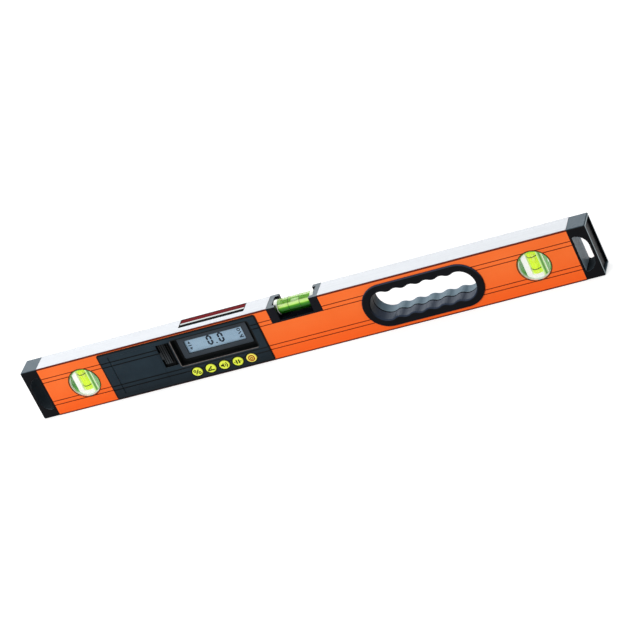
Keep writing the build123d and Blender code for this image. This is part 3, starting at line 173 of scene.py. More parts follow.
class Finish:
    """A Principled material whose detail is added step by step."""

    def __init__(self, name, **values):
        self.material = bpy.data.materials.new(name)
        self.material.use_nodes = True
        self.tree = self.material.node_tree
        self.shader = self.tree.nodes["Principled BSDF"]
        self.coords = self.node("ShaderNodeTexCoord").outputs["Object"]
        self.bump = None
        for socket, value in values.items():
            self.shader.inputs[socket.replace("_", " ")].default_value = value

    def node(self, kind, **inputs):
        made = self.tree.nodes.new(kind)
        for socket, value in inputs.items():
            self.put(made.inputs[socket.replace("_", " ")], value)
        return made

    def put(self, socket, value):
        """A value set on a socket, or a link to it."""
        if isinstance(value, bpy.types.NodeSocket):
            self.tree.links.new(value, socket)
        else:
            socket.default_value = value

    def give(self, name, value):
        """A value set on a socket of the shader, or a link to it."""
        self.put(self.shader.inputs[name], value)

    def given(self, name):
        """What is linked to a socket of the shader so far."""
        return self.shader.inputs[name].links[0].from_socket

    def math(self, operation, first, second=0.0):
        made = self.tree.nodes.new("ShaderNodeMath")
        made.operation = operation
        self.put(made.inputs[0], first)
        self.put(made.inputs[1], second)
        return made.outputs[0]

    def add(self, first, second):
        return self.math("ADD", first, second)

    def minus(self, first, second):
        return self.math("SUBTRACT", first, second)

    def times(self, first, second):
        return self.math("MULTIPLY", first, second)

    def larger(self, first, second):
        return self.math("MAXIMUM", first, second)

    def size(self, value):
        return self.math("ABSOLUTE", value)

    def above(self, value, limit):
        return self.math("GREATER_THAN", value, limit)

    def below(self, value, limit):
        return self.math("LESS_THAN", value, limit)

    def band(self, value, middle, half):
        """1 within half of the middle, else 0."""
        return self.below(self.size(self.minus(value, middle)), half)

    def squares(self, first, second):
        return self.add(self.times(first, first), self.times(second, second))

    def axis(self, name):
        return self.node("ShaderNodeSeparateXYZ", Vector=self.coords).outputs[name]

    def facing(self, axis, start=0.5, end=0.95):
        """1 on faces that look along an axis, 0 on those that look away from it."""
        normal = self.node("ShaderNodeNewGeometry").outputs["Normal"]
        part = self.node("ShaderNodeSeparateXYZ", Vector=normal).outputs[axis]
        return self.share(part, start, end)

    def noise(self, scale, detail=2.0, stretch=None):
        coords = self.coords
        if stretch:
            coords = self.node("ShaderNodeMapping", Vector=coords, Scale=stretch).outputs[0]
        made = self.node("ShaderNodeTexNoise", Vector=coords, Scale=scale, Detail=detail)
        return made.outputs["Fac"]

    def spread(self, value, low, high, start=NOISE_LOW, end=NOISE_HIGH):
        """A value from start to end, as one from low to high."""
        made = self.node("ShaderNodeMapRange", Value=value)
        made.inputs["From Min"].default_value = start
        made.inputs["From Max"].default_value = end
        made.inputs["To Min"].default_value = low
        made.inputs["To Max"].default_value = high
        return made.outputs[0]

    def share(self, value, start=NOISE_LOW, end=NOISE_HIGH):
        """A value from start to end, as a share from 0 to 1."""
        return self.spread(value, 0.0, 1.0, start, end)

    def mix(self, share, first, second):
        made = self.tree.nodes.new("ShaderNodeMix")
        made.data_type = "RGBA"
        self.put(made.inputs["Factor"], share)
        self.put(made.inputs[COLOUR_A], first)
        self.put(made.inputs[COLOUR_B], second)
        return made.outputs[COLOUR_RESULT]

    def ramp(self, value, stops):
        """A row of colours along a value from 0 to 1."""
        made = self.node("ShaderNodeValToRGB", Fac=value)
        row = made.color_ramp.elements
        row[0].position, row[0].color = stops[0]
        row[1].position, row[1].color = stops[-1]
        for place, colour in stops[1:-1]:
            row.new(place).color = colour
        return made.outputs["Color"]

    def colour(self, first, second, scale, detail=2.0, stretch=None):
        """The colour wanders between two close ones."""
        wander = self.share(self.noise(scale, detail, stretch))
        self.give("Base Color", self.mix(wander, first, second))
        return self

    def tint(self, share, colour):
        """Another colour over the one so far, by a share from 0 to 1."""
        self.give("Base Color", self.mix(share, self.given("Base Color"), colour))
        return self

    def glow(self, colour, strength):
        """A colour that also shines a little: a painted glow."""
        self.give("Base Color", colour)
        self.give("Emission Color", colour)
        self.give("Emission Strength", strength)
        return self

    def rough(self, low, high, scale):
        """The gloss varies a little over the surface."""
        self.give("Roughness", self.spread(self.noise(scale, detail=3.0), low, high))
        return self

    def relief(self, height, depth, strength):
        """Fine relief from a height in the range 0 to 1, depth in metres."""
        made = self.node("ShaderNodeBump", Height=height, Distance=depth, Strength=strength)
        if self.bump:
            self.tree.links.new(self.bump, made.inputs["Normal"])
        self.bump = made.outputs[0]
        self.give("Normal", self.bump)
        return self

    def grain(self, scale, depth, strength=0.5, stretch=None):
        return self.relief(self.noise(scale, stretch=stretch), depth, strength)

    def polish(self, low, high, patch, wave):
        """The gloss of acrylic, with the faint waviness of a moulding."""
        self.rough(low, high, patch)
        return self.grain(wave, WAVE_DEPTH, ACRYLIC_WAVE)


def moulded(name, dark, light, rough, grain=MOULD_GRAIN, depth=SPARK_DEPTH, level=MOULD_LEVEL):
    """Moulded plastic with a fine spark texture. Its two colours are as on a screen."""
    made = Finish(name, Specular_IOR_Level=level)
    made.colour(srgb(*dark), srgb(*light), scale=60, detail=4.0)
    made.rough(rough - MOULD_SWING, rough + MOULD_SWING, scale=120)
    return made.grain(grain, depth)


def groove_shade_share(made, deeper_than):
    """1 on the floors and walls of the long grooves, which are painted darker as shade."""
    height = made.axis("Z")
    share = made.band(height, GROOVE_HEIGHTS[0], GROOVE_HALF)
    for place in GROOVE_HEIGHTS[1:]:
        share = made.add(share, made.band(height, place, GROOVE_HALF))
    return made.times(share, made.below(made.size(made.axis("Y")), deeper_than))


def beam_finish():
    """Orange powder coat on the sides, bare milled metal on the two measuring faces."""
    made = Finish("beam_paint_and_milled_faces", Specular_IOR_Level=0.15)
    height = made.size(made.minus(made.axis("Z"), BEAM_HALF_HEIGHT))
    bare = made.above(height, BEAM_HALF_HEIGHT - BARE_DEPTH)
    # painted shade: a dark red band along the edges of the paint
    edge = made.above(height, BEAM_HALF_HEIGHT - PAINTED_EDGE_SHADE)
    wander = made.share(made.noise(scale=25, detail=3.0))
    upper = made.mix(wander, srgb(255, 118, 50), srgb(252, 112, 43))
    # painted light: the paint is paler high up and redder low down
    rise = made.share(made.axis("Z"), 0.0, PAINT_LIT_HEIGHT)
    paint = made.mix(rise, srgb(254, 100, 28), upper)
    paint = made.mix(edge, paint, srgb(96, 22, 3))
    # painted shade in the grooves
    paint = made.mix(groove_shade_share(made, BELOW_BEAM_SIDES), paint, srgb(120, 30, 6))
    lines = made.noise(scale=1.0, detail=3.0, stretch=MILLING_STRETCH)
    metal = made.mix(made.share(lines), srgb(187, 188, 191), srgb(199, 199, 202))
    made.give("Base Color", made.mix(bare, paint, metal))
    made.give("Metallic", made.times(bare, MILLED_METALLIC))
    made.give("Roughness", made.spread(made.noise(scale=300), low=0.38, high=0.48))
    made.relief(made.noise(scale=1100, detail=1.0), PEEL_DEPTH, strength=0.35)
    return made.relief(lines, FINE_DEPTH, strength=0.4).material


def button_shade_share(made):
    """1 in a narrow oval ring round each button, where shade is painted."""
    place = made.axis("X")
    row = made.times(made.above(place, BUTTON_FIRST - BUTTON_PITCH / 2),
                     made.below(place, BUTTON_LAST + BUTTON_PITCH / 2))
    step = made.math("DIVIDE", made.minus(place, BUTTON_FIRST), BUTTON_PITCH)
    off_centre = made.minus(step, made.math("ROUND", step))
    along = made.times(off_centre, BUTTON_PITCH / BUTTON_RING_LENGTH)
    up = made.math("DIVIDE", made.minus(made.axis("Z"), BUTTON_HEIGHT), BUTTON_RING_HEIGHT)
    return made.times(row, made.below(made.squares(along, up), 1.0))


def fascia_finish():
    """Slate plastic with a painted sheen on its tops, and painted shade low down, in its fine
    lines, round its rim, in its recesses and round its buttons.
    """
    made = moulded("module_slate_plastic", (25, 38, 47), (32, 46, 55), rough=0.42, level=0.1)
    # painted sheen on the faces that look up
    made.tint(made.facing("Z"), srgb(70, 78, 84))
    # painted shade, darker low down
    low = made.spread(made.axis("Z"), MODULE_SHADE, 0.0, MODULE_SHADE_LOW, MODULE_SHADE_HIGH)
    made.tint(low, srgb(10, 16, 20))
    # painted shade along the rim of the module, where it meets the beam
    along = made.size(made.minus(made.axis("X"), (MODULE_LEFT + MODULE_RIGHT) / 2))
    up = made.size(made.minus(made.axis("Z"), (MODULE_BOTTOM + MODULE_TOP) / 2))
    sides = made.above(along, (MODULE_RIGHT - MODULE_LEFT) / 2 - MODULE_RIM)
    ends = made.above(up, (MODULE_TOP - MODULE_BOTTOM) / 2 - MODULE_RIM)
    made.tint(made.larger(sides, ends), srgb(7, 9, 11))
    # painted shade in the recess of the latch tray
    deep = made.below(made.size(made.axis("Y")), MODULE_FRONT - MODULE_RECESS)
    tray = made.above(made.axis("X"), LATCH_TRAY_LEFT)
    made.tint(made.times(deep, tray), srgb(6, 8, 10))
    # painted shade round the buttons
    made.tint(button_shade_share(made), srgb(14, 17, 8))
    # painted shade in the fine lines
    return made.tint(groove_shade_share(made, ANY_DEPTH), srgb(6, 9, 12)).material


def pocket_finish():
    """Black display pocket with painted highlights, broken up by noise, along its left and lower
    rims.
    """
    made = moulded("pocket_black_plastic", (8, 11, 12), (12, 15, 16), rough=0.5)
    front = made.above(made.size(made.axis("Y")), MODULE_FRONT - POCKET_RIM)
    left = made.below(made.axis("X"), POCKET_LEFT)
    low = made.below(made.axis("Z"), POCKET_BOTTOM)
    # painted highlight on the front of the left and lower rims
    painted_highlight = made.times(front, made.larger(left, low))
    highlight_breakup = made.spread(made.noise(scale=400, detail=3.0), low=0.5, high=1.0)
    return made.tint(made.times(painted_highlight, highlight_breakup), srgb(112, 106, 104)).material


def bezel_finish():
    """Grey bezel round the display, with painted shade on the inner walls of its opening."""
    made = moulded("bezel_grey_plastic", (54, 61, 68), (62, 69, 76), rough=0.38, level=0.08)
    # painted shade on the walls that don't face the front
    walls = made.minus(1.0, made.facing("Y", start=-0.5, end=-0.9))
    return made.tint(walls, srgb(8, 10, 12)).material


def latch_finish():
    """Black latch with a painted highlight on its pad, paler towards its lower end."""
    made = moulded("latch_black_plastic", (6, 8, 9), (10, 12, 13), rough=0.4, level=0.08)
    # painted highlight on the front of the pad
    front = made.above(made.size(made.axis("Y")), LATCH_FRONT)
    painted_highlight = made.spread(made.axis("Z"), 1.0, LATCH_HIGHLIGHT_LEAST,
                         LATCH_HIGHLIGHT_LOW, LATCH_HIGHLIGHT_HIGH)
    return made.tint(made.times(front, painted_highlight), srgb(62, 66, 69)).material


def hole_share(made, along):
    """1 in the hang holes of the end caps."""
    hole = made.times(made.band(along, (HOLE_START + HOLE_END) / 2, (HOLE_END - HOLE_START) / 2),
                      made.band(made.axis("Z"), BEAM_HALF_HEIGHT, HOLE_HALF_HEIGHT))
    return made.times(hole, made.band(made.axis("Y"), 0.0, HOLE_HALF_DEPTH))


def cap_finish():
    """Black caps with a painted sheen on their tops, painted highlights on their end rims, and
    painted light on the walls and the pale flats of the hang holes.
    """
    made = moulded("cap_black_plastic", (7, 8, 11), (11, 12, 16), rough=0.3, level=0.06)
    along = made.size(made.axis("X"))
    hole = hole_share(made, along)
    # painted sheen on the tops, outside the hang holes
    made.tint(made.minus(made.facing("Z"), hole), srgb(70, 86, 96))
    sideways = made.larger(made.facing("X", start=0.8, end=0.98),
                           made.facing("X", start=-0.8, end=-0.98))
    flat = made.times(made.times(sideways, made.below(along, HOLE_FLAT_END)), hole)
    # painted light on the walls of the hang holes, paler on their flats
    made.tint(hole, srgb(34, 41, 46))
    made.tint(flat, srgb(166, 186, 198))
    # painted highlight on the end rims
    rim = made.times(sideways, made.above(along, CAP_END - CAP_RIM))
    made.tint(rim, srgb(172, 188, 194))
    dull = made.times(made.minus(hole, flat), HOLE_DULLNESS)
    made.give("Roughness", made.add(made.given("Roughness"), dull))
    return made.material


def holder_finish():
    """Black vial holder with a painted sheen on the tops of its posts."""
    made = moulded("holder_black_plastic", (8, 10, 16), (13, 15, 22), rough=0.3, level=0.08)
    # painted sheen on the tops of the posts
    tops = made.times(made.facing("Z"), made.above(made.axis("Z"), POST_TOPS))
    return made.tint(tops, srgb(92, 102, 108)).material


def grip_finish(name, lit):
    """Soft grip half: black flange, painted light on its hand side and a dark parting line."""
    made = moulded(name, (7, 9, 13), (12, 14, 19), rough=0.4, grain=1800, level=0.06)
    # painted light on the faces that look up
    made.tint(made.facing("Z", start=0.0, end=0.6), srgb(*lit))
    parting = made.below(made.size(made.axis("Y")), PARTING_HALF)
    return made.tint(parting, srgb(3, 4, 6)).material


def clear_finish(name, colour, alpha, polish):
    """A clear sheet or a thin printed film."""
    made = Finish(name, Base_Color=srgb(*colour), Alpha=alpha, Specular_IOR_Level=0.5)
    return made.polish(**polish).material


def from_unit(made):
    """Place sideways and upwards from the middle of the nearest plumb unit."""
    place = made.axis("X")
    along = made.minus(place, made.times(made.math("SIGN", place), PLUMB_X))
    return along, made.minus(made.axis("Z"), PLUMB_Z)


def lens_finish():
    """Clear lens of a plumb unit with painted shade on its rim and a painted glint along its inner
    edge.
    """
    made = Finish("lens_clear_acrylic", Specular_IOR_Level=0.15)
    along, up = from_unit(made)
    reach = made.math("SQRT", made.squares(along, up))
    # painted shade on the rim and a painted glint low down inside it
    rim = made.above(reach, PLUMB_BORE)
    low = made.below(made.add(up, along), GLINT_LIMIT)
    glint = made.times(made.band(reach, PLUMB_BORE - GLINT_INSET, GLINT_HALF), low)
    made.give("Base Color", made.mix(rim, srgb(226, 240, 226), srgb(64, 52, 20)))
    shade = made.larger(made.times(rim, LENS_RIM_ALPHA), made.times(glint, LENS_GLINT_ALPHA))
    made.give("Alpha", made.larger(shade, LENS_ALPHA))
    return made.polish(**CLEAR_POLISH).material


def barrel_finish():
    """Painted green light in the wall of a plumb unit, pale along its lower side, with painted
    dark streaks and a painted glow.
    """
    made = Finish("barrel_green_acrylic", Specular_IOR_Level=0.2)
    up = from_unit(made)[1]
    # painted light: pale low down, green higher up
    wall = made.ramp(made.share(up, -PLUMB_BORE, PLUMB_BORE), [
        (0.0, srgb(248, 255, 248)), (0.14, srgb(236, 252, 230)), (0.24, srgb(112, 196, 84)),
        (0.5, srgb(92, 182, 64)), (0.8, srgb(112, 204, 76)), (1.0, srgb(176, 236, 130))])
    streaks = made.spread(made.noise(scale=1.0, stretch=BARREL_STRETCH), low=0.0, high=0.5)
    made.glow(made.mix(streaks, wall, srgb(40, 96, 14)), strength=0.12)
    return made.polish(**VIAL_POLISH).material


def carrier_finish():
    """White holder with painted light and shade in the colour of the fluid on the side away from
    the light, and a painted glow.
    """
    made = moulded("carrier_white_plastic", (248, 252, 246), (252, 254, 250), rough=0.4,
                   grain=1500)
    along = from_unit(made)[0]
    # painted light and shade in the colour of the fluid
    lines = made.ramp(made.share(along, CARRIER_SHADE_START, CARRIER_SHADE_END), [
        (0.0, srgb(240, 252, 222)), (0.25, srgb(206, 244, 150)), (0.45, srgb(106, 172, 70)),
        (0.6, srgb(62, 124, 38)), (0.78, srgb(158, 214, 120)), (1.0, srgb(246, 253, 240))])
    made.tint(made.above(along, CARRIER_SHADE_START), lines)
    # painted glow
    return made.glow(made.given("Base Color"), strength=0.1).material


def near_axis(made, across, up, radius):
    """1 within a radius of an axis, which is the wall of a vial's cavity, else 0."""
    return made.below(made.squares(across, up), radius ** 2)


def plumb_vial_finish():
    """Fluorescent yellow fluid with painted upright streaks of light and a painted glow, seen
    through a clear front wall.
    """
    made = Finish("plumb_vial_yellow", Specular_IOR_Level=0.3)
    # painted streaks of light and a painted glow
    streaks = made.share(made.noise(scale=1.0, stretch=FLUID_STRETCH))
    made.glow(made.mix(streaks, srgb(236, 255, 34), srgb(208, 238, 8)), strength=0.2)
    along = from_unit(made)[0]
    behind = made.minus(made.axis("Y"), PLUMB_VIAL_Y)
    cavity = near_axis(made, along, behind, PLUMB_CAVITY_R)
    clear = made.spread(cavity, PLUMB_WALL_CLEAR, PLUMB_CAVITY_CLEAR, start=0.0, end=1.0)
    front = made.below(behind, 0.0)
    made.give("Alpha", made.minus(1.0, made.times(front, clear)))
    return made.polish(**VIAL_POLISH).material


def level_vial_finish():
    """Green vial with painted light: pale where light comes through it from behind, deep green
    below, and a painted glow.
    """
    made = Finish("level_vial_green", Specular_IOR_Level=0.25)
    wander = made.times(made.minus(made.noise(scale=120), 0.5), LEVEL_WANDER)
    height = made.share(made.add(made.axis("Z"), wander), LEVEL_Z - LEVEL_R, LEVEL_Z + LEVEL_R)
    # painted light: bands of pale highlight and dark green by height
    outside = made.ramp(height, [
        (0.0, srgb(4, 34, 1)), (0.34, srgb(8, 62, 1)), (0.5, srgb(30, 112, 3)),
        (0.62, srgb(66, 154, 14)), (0.68, srgb(186, 238, 100)), (0.82, srgb(226, 252, 168)),
        (0.87, srgb(56, 134, 26)), (0.91, srgb(140, 212, 70)), (0.96, srgb(112, 190, 60)),
        (1.0, srgb(206, 240, 136))])
    up = made.minus(made.axis("Z"), LEVEL_Z)
    cavity = near_axis(made, made.axis("Y"), up, LEVEL_CAVITY_R)
    made.glow(made.mix(cavity, outside, srgb(172, 226, 78)), strength=0.06)
    shell = made.spread(height, low=0.97, high=0.4, start=0.6, end=0.95)
    lining = made.spread(height, low=0.95, high=0.08, start=0.45, end=0.55)
    made.give("Alpha", made.add(shell, made.times(cavity, made.minus(lining, shell))))
    return made.polish(**VIAL_POLISH).material


def bubble_finish():
    """Air in the fluid with painted light: a painted highlight in the middle, a painted dark edge
    and a painted glow.
    """
    made = Finish("bubble_air", Alpha=0.9, Specular_IOR_Level=0.4)
    # painted highlight on the top and sides, painted shade elsewhere
    sides = made.larger(made.facing("Y", start=0.35, end=0.75),
                        made.facing("Y", start=-0.35, end=-0.75))
    bright = made.larger(made.facing("Z", start=0.35, end=0.75), sides)
    made.glow(made.mix(bright, srgb(40, 92, 8), srgb(250, 255, 226)), strength=0.12)
    return made.polish(**BUBBLE_POLISH).material


def opal_finish():
    """White diffuser strip, near black along its front edge."""
    made = moulded("top_window_opal", (220, 224, 222), (228, 231, 229), rough=0.5,
                   grain=300, depth=FINE_DEPTH, level=0.02)
    return made.tint(made.below(made.axis("Y"), OPAL_DARK_END), srgb(9, 12, 9)).material


def metal_finish(name, dark, light, rough):
    """Plated sheet or turned metal with fine drawing lines."""
    made = Finish(name, Metallic=1.0)
    made.colour(srgb(*dark), srgb(*light), scale=1.0, detail=3.0, stretch=DRAWING_STRETCH)
    made.rough(rough - METAL_SWING, rough + METAL_SWING, scale=200)
    return made.grain(scale=1.0, depth=FINE_DEPTH, strength=0.3, stretch=DRAWING_STRETCH).material


def lcd_finish():
    """Grey-blue liquid crystal glass with a slight cast from side to side."""
    made = Finish("lcd_grey_glass", Specular_IOR_Level=0.3)
    made.colour(srgb(166, 196, 218), srgb(156, 186, 210), scale=70)
    made.rough(0.25, 0.35, scale=200)
    return made.grain(scale=3000, depth=FINE_DEPTH, strength=0.3).material


def cell_finish():
    """Printed foil jacket of a battery cell."""
    made = Finish("cell_jacket_foil", Metallic=0.6)
    made.colour(srgb(66, 70, 78), srgb(80, 84, 92), scale=50, detail=3.0)
    made.rough(0.28, 0.4, scale=150)
    return made.grain(scale=1500, depth=WAVE_DEPTH, strength=0.2).material


# Plain mouldings: the material's name, its two colours, its roughness and what else is its own
MOULDINGS = {
    "tub": ("tub_black_plastic", (34, 35, 37), (42, 43, 45), 0.5, {}),
    "white": ("plug_white_plastic", (240, 246, 234), (246, 250, 240), 0.4, {"grain": 1500}),
    "line": ("printed_black_line", (14, 18, 12), (22, 27, 20), 0.4, {}),
    "segment": ("lcd_dark_segment", (36, 46, 60), (44, 54, 68), 0.35, {}),
    "button": ("button_yellow_rubber", (244, 255, 92), (236, 250, 76), 0.42, {"grain": 1500}),
    "button_power": ("button_cream_rubber", (255, 244, 112), (252, 236, 96), 0.42,
                     {"grain": 1500}),
    "icon": ("icon_olive_print", (40, 44, 4), (54, 58, 8), 0.5, {}),
    "icon_orange": ("icon_orange_print", (132, 28, 2), (164, 50, 6), 0.5, {}),
    "red": ("top_window_red", (104, 12, 20), (116, 20, 28), 0.5,
            {"grain": 300, "depth": FINE_DEPTH, "level": 0.01}),
    "frame_black": ("top_window_black", (8, 11, 8), (12, 15, 12), 0.5, {"level": 0.01}),
    "guide": ("light_guide_frosted", (226, 232, 228), (236, 240, 238), 0.4, {}),
    "laminate": ("board_green_mask", (16, 84, 42), (24, 98, 52), 0.3, {"grain": 900}),
    "chip": ("chip_black_resin", (26, 26, 28), (34, 34, 36), 0.4, {}),
    "strip": ("strip_grey_rubber", (58, 58, 58), (72, 72, 72), 0.6, {}),
}


def make_materials():
    """Every material by its short name."""
    made = {
        "beam": beam_finish(),
        "cap": cap_finish(),
        # The two grip halves are lit and shaded copies: the painted light is paler on the rear
        # half
        "grip_front": grip_finish("grip_front_rubber", lit=(48, 58, 76)),
        "grip_rear": grip_finish("grip_rear_rubber", lit=(104, 126, 140)),
        "holder": holder_finish(),
        "fascia": fascia_finish(),
        "bezel": bezel_finish(),
        "pocket": pocket_finish(),
        "latch": latch_finish(),
        "lens": lens_finish(),
        "window": clear_finish("display_window_clear", (30, 36, 40), 0.05, CLEAR_POLISH),
        "barrel": barrel_finish(),
        "carrier": carrier_finish(),
        "plumb_vial": plumb_vial_finish(),
        "level_vial": level_vial_finish(),
        "bubble": bubble_finish(),
        "green_line": clear_finish("printed_green_line", (36, 80, 10), 0.25, LINE_POLISH),
        "lcd": lcd_finish(),
        "opal": opal_finish(),
        "contact": metal_finish("contact_nickel", (196, 196, 190), (214, 214, 208), rough=0.3),
        "screw": metal_finish("screw_zinc", (168, 170, 172), (190, 192, 194), rough=0.34),
        "cell": cell_finish(),
    }
    for key, (name, dark, light, rough, own) in MOULDINGS.items():
        made[key] = moulded(name, dark, light, rough, **own).material
    return made


MATERIAL_OF_NODE = {
    "beam": "beam", "end_cap_left": "cap", "end_cap_right": "cap",
    "grip_front_half": "grip_front", "grip_rear_half": "grip_rear",
    "level_holder": "holder", "level_vial": "level_vial", "level_plugs": "white",
    "level_rings": "green_line", "level_bubble": "bubble",
    "fascia": "fascia", "module_housing": "tub",
    "battery_cover": "fascia", "battery_latch": "latch",
    "battery_upper": "cell", "battery_lower": "cell",
    "battery_link_contact": "contact", "battery_end_contacts": "contact",
    "display_frame": "pocket", "display_bezel": "bezel", "display_window": "window",
    "lcd_panel": "lcd", "backlight": "guide", "contact_strips": "strip",
    "circuit_board": "laminate", "tilt_sensor": "contact", "processor_chip": "chip",
    "buzzer": "chip", "key_switches": "contact",
    "unit_button": "button", "reference_button": "button", "tone_button": "button",
    "hold_button": "button", "power_button": "button_power",
    "board_screws": "screw", "housing_screws": "screw",
    "top_window_frame": "frame_black", "top_window_lens": "red", "top_window_diffuser": "opal",
}
PLUMB_MATERIALS = {
    "front_lens": "lens", "rear_lens": "lens", "barrel": "barrel", "carrier": "carrier",
    "vial": "plumb_vial", "plug": "plumb_vial", "rings": "line", "bubble": "bubble",
}


def dress_nodes(materials):
    """Every CAD node gets its material."""
    wanted = dict(MATERIAL_OF_NODE)
    for side in ("left", "right"):
        for piece, finish in PLUMB_MATERIALS.items():
            wanted[f"plumb_{side}_{piece}"] = finish
    for name, finish in wanted.items():
        for place in nodes[name].material_slots:
            place.material = materials[finish]


# Printed marks, outlines in X and Z from the middle of the node that carries them

def outline(*places):
    return [Vector(place) for place in places]


def bar_shape(start, end, width):
    """A straight stroke with pointed ends."""
    start, end = Vector(start), Vector(end)
    unit = (end - start).normalized()
    side = Vector((-unit.y, unit.x)) * (width / 2)
    tip = unit * (width / 2)
    return [start, start + tip + side, end - tip + side,
            end, end - tip - side, start + tip - side]


def arc_points(middle, radius, start, end, steps):
    """Points along an arc, with the start and the end in degrees."""
    turns = [math.radians(start + (end - start) * step / steps) for step in range(steps + 1)]
    return [Vector((middle[0] + radius * math.cos(turn), middle[1] + radius * math.sin(turn)))
            for turn in turns]


def arc_shape(middle, radius, width, start, end, steps):
    """Part of a ring as one outline."""
    outer = arc_points(middle, radius + width / 2, start, end, steps)
    inner = arc_points(middle, radius - width / 2, start, end, steps)
    return outer + inner[::-1]


def ring_shape(middle, radius, width, steps):
    """A whole ring as an outer and an inner outline."""
    return tuple(arc_points(middle, radius + side * width / 2, 0, 360, steps)[:-1]
                 for side in (1, -1))


def angle_shape(corner, reach, tip, width):
    """An angle sign as one outline: a level arm to the right, and an arm up to the tip."""
    corner, tip = Vector(corner), Vector(tip)
    half = width / 2
    unit = (tip - corner).normalized()
    side = Vector((-unit.y, unit.x)) * half
    down = Vector((0, -half))
    end = corner + Vector((reach, 0))
    inner = corner + Vector(((half * unit.x + half) / unit.y, half))
    return [corner + down, end + down, end - down, inner, tip - side, tip + side, corner + side]


def bridge(work, first, second):
    """A closed band of faces between two loops of as many points."""
    for index in range(len(first)):
        work.faces.new((first[index - 1], first[index], second[index], second[index - 1]))


def print_mark(name, node, shapes, thickness, material, body):
    """Outlines in millimetres become one thin raised print on the front of a node."""
    low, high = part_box(node)
    front = low[1]
    x, z = (low[0] + high[0]) / 2, (low[2] + high[2]) / 2
    work = bmesh.new()

    def corners(loops, depth):
        return [[work.verts.new((x + point[0] * MM, depth, z + point[1] * MM)) for point in loop]
                for loop in loops]

    for shape in shapes:
        loops = shape if isinstance(shape, tuple) else (shape,)
        near = corners(loops, front - thickness)
        far = corners(loops, front + thickness * SUNK_SHARE)
        for level in (near, far):
            if len(level) == 1:
                work.faces.new(level[0])
            else:
                bridge(work, *level)
        for above, below in zip(near, far):
            bridge(work, above, below)
    bmesh.ops.recalc_face_normals(work, faces=work.faces)
    mesh = bpy.data.meshes.new(name)
    work.to_mesh(mesh)
    work.free()
    piece = bpy.data.objects.new(name, mesh)
    bpy.context.scene.collection.objects.link(piece)
    mesh.materials.append(material)
    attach(piece, body)


def zero_digit(x, z):
    """The six lit segments of a nought."""
    shapes = []
    for ends in SEGMENTS.values():
        start, end = [Vector((x + (column - 0.5) * DIGIT_WIDTH, z + (row - 1) * DIGIT_HEIGHT / 2))
                      for column, row in ends]
        step = (end - start).normalized() * STROKE_GAP
        shapes.append(bar_shape(start + step, end - step, STROKE))
    return shapes


def display_marks(materials):
    """Figures in the middle of the display, pointers at its left and symbols at its right."""
    digits = []
    for side in (-0.5, 0.5):
        digits += zero_digit(DIGIT_SHIFT + side * DIGIT_PITCH, DIGIT_RISE)
    low = DIGIT_RISE - DIGIT_HEIGHT / 2
    digits.append(outline(
        (DIGIT_SHIFT - DOT_HALF, low - DOT_HALF), (DIGIT_SHIFT + DOT_HALF, low - DOT_HALF),
        (DIGIT_SHIFT + DOT_HALF, low + DOT_HALF), (DIGIT_SHIFT - DOT_HALF, low + DOT_HALF)))
    left, right = POINTERS_X, SYMBOLS_X
    small = [
        outline((left - 1.6, 2.2), (left + 1.6, 2.2), (left, 5.2)),
        bar_shape((left - 2.0, 0.0), (left + 2.0, 0.0), width=1.1),
        outline((left - 1.6, -2.2), (left, -5.2), (left + 1.6, -2.2)),
        ring_shape((right - 0.3, 3.7), radius=1.4, width=0.9, steps=20),
        bar_shape((right - 2.2, -1.1), (right + 1.8, 1.3), width=1.0),
        angle_shape((right - 2.2, -4.9), reach=4.4, tip=(right + 1.6, -2.2), width=1.0),
    ]
    for name, shapes in (("display_digits", digits), ("display_small_marks", small)):
        print_mark(name, "lcd_panel", shapes, DISPLAY_PRINT, materials["segment"],
                   "level_body")


def button_marks(materials):
    """Percent, angle, sound, hold and power symbols on the keys."""
    def mark(button, part, finish, shapes):
        print_mark(f"{button}_{part}", button, shapes, BUTTON_PRINT, materials[finish],
                   f"{button}_body")

    mark("unit_button", "mark", "icon", [
        ring_shape((-2.3, 1.3), radius=1.1, width=0.9, steps=20),
        ring_shape((2.3, -1.3), radius=1.1, width=0.9, steps=20),
        bar_shape((-2.0, -2.6), (2.0, 2.6), width=1.1)])
    mark("reference_button", "mark", "icon", [
        angle_shape((-3.6, -1.8), reach=7.2, tip=(1.8, 2.6), width=1.2),
        arc_shape((-3.6, -1.8), radius=4.0, width=1.0, start=11, end=28, steps=8)])
    mark("tone_button", "mark", "icon", [
        outline((-3.6, -1.0), (-2.1, -1.0), (-0.3, -2.6), (-0.3, 2.6), (-2.1, 1.0), (-3.6, 1.0)),
        arc_shape((-0.5, 0.0), radius=2.0, width=0.9, start=-50, end=50, steps=10),
        arc_shape((-0.5, 0.0), radius=3.7, width=0.9, start=-46, end=46, steps=12)])
    mark("hold_button", "mark", "icon", [
        bar_shape((-1.3, -2.5), (-1.3, 2.5), width=1.5),
        bar_shape((1.3, -2.5), (1.3, 2.5), width=1.5),
        bar_shape((-4.0, 0.0), (-2.5, 0.0), width=1.3),
        bar_shape((2.5, 0.0), (4.0, 0.0), width=1.3)])
    mark("power_button", "ring", "icon_orange", [
        ring_shape((0.0, 0.0), radius=2.9, width=1.1, steps=40)])
    mark("power_button", "mark", "icon_orange", [
        arc_shape((0.0, -0.2), radius=1.3, width=0.8, start=130, end=410, steps=22),
        bar_shape((0.0, -0.2), (0.0, 2.0), width=1.0)])


# Studio

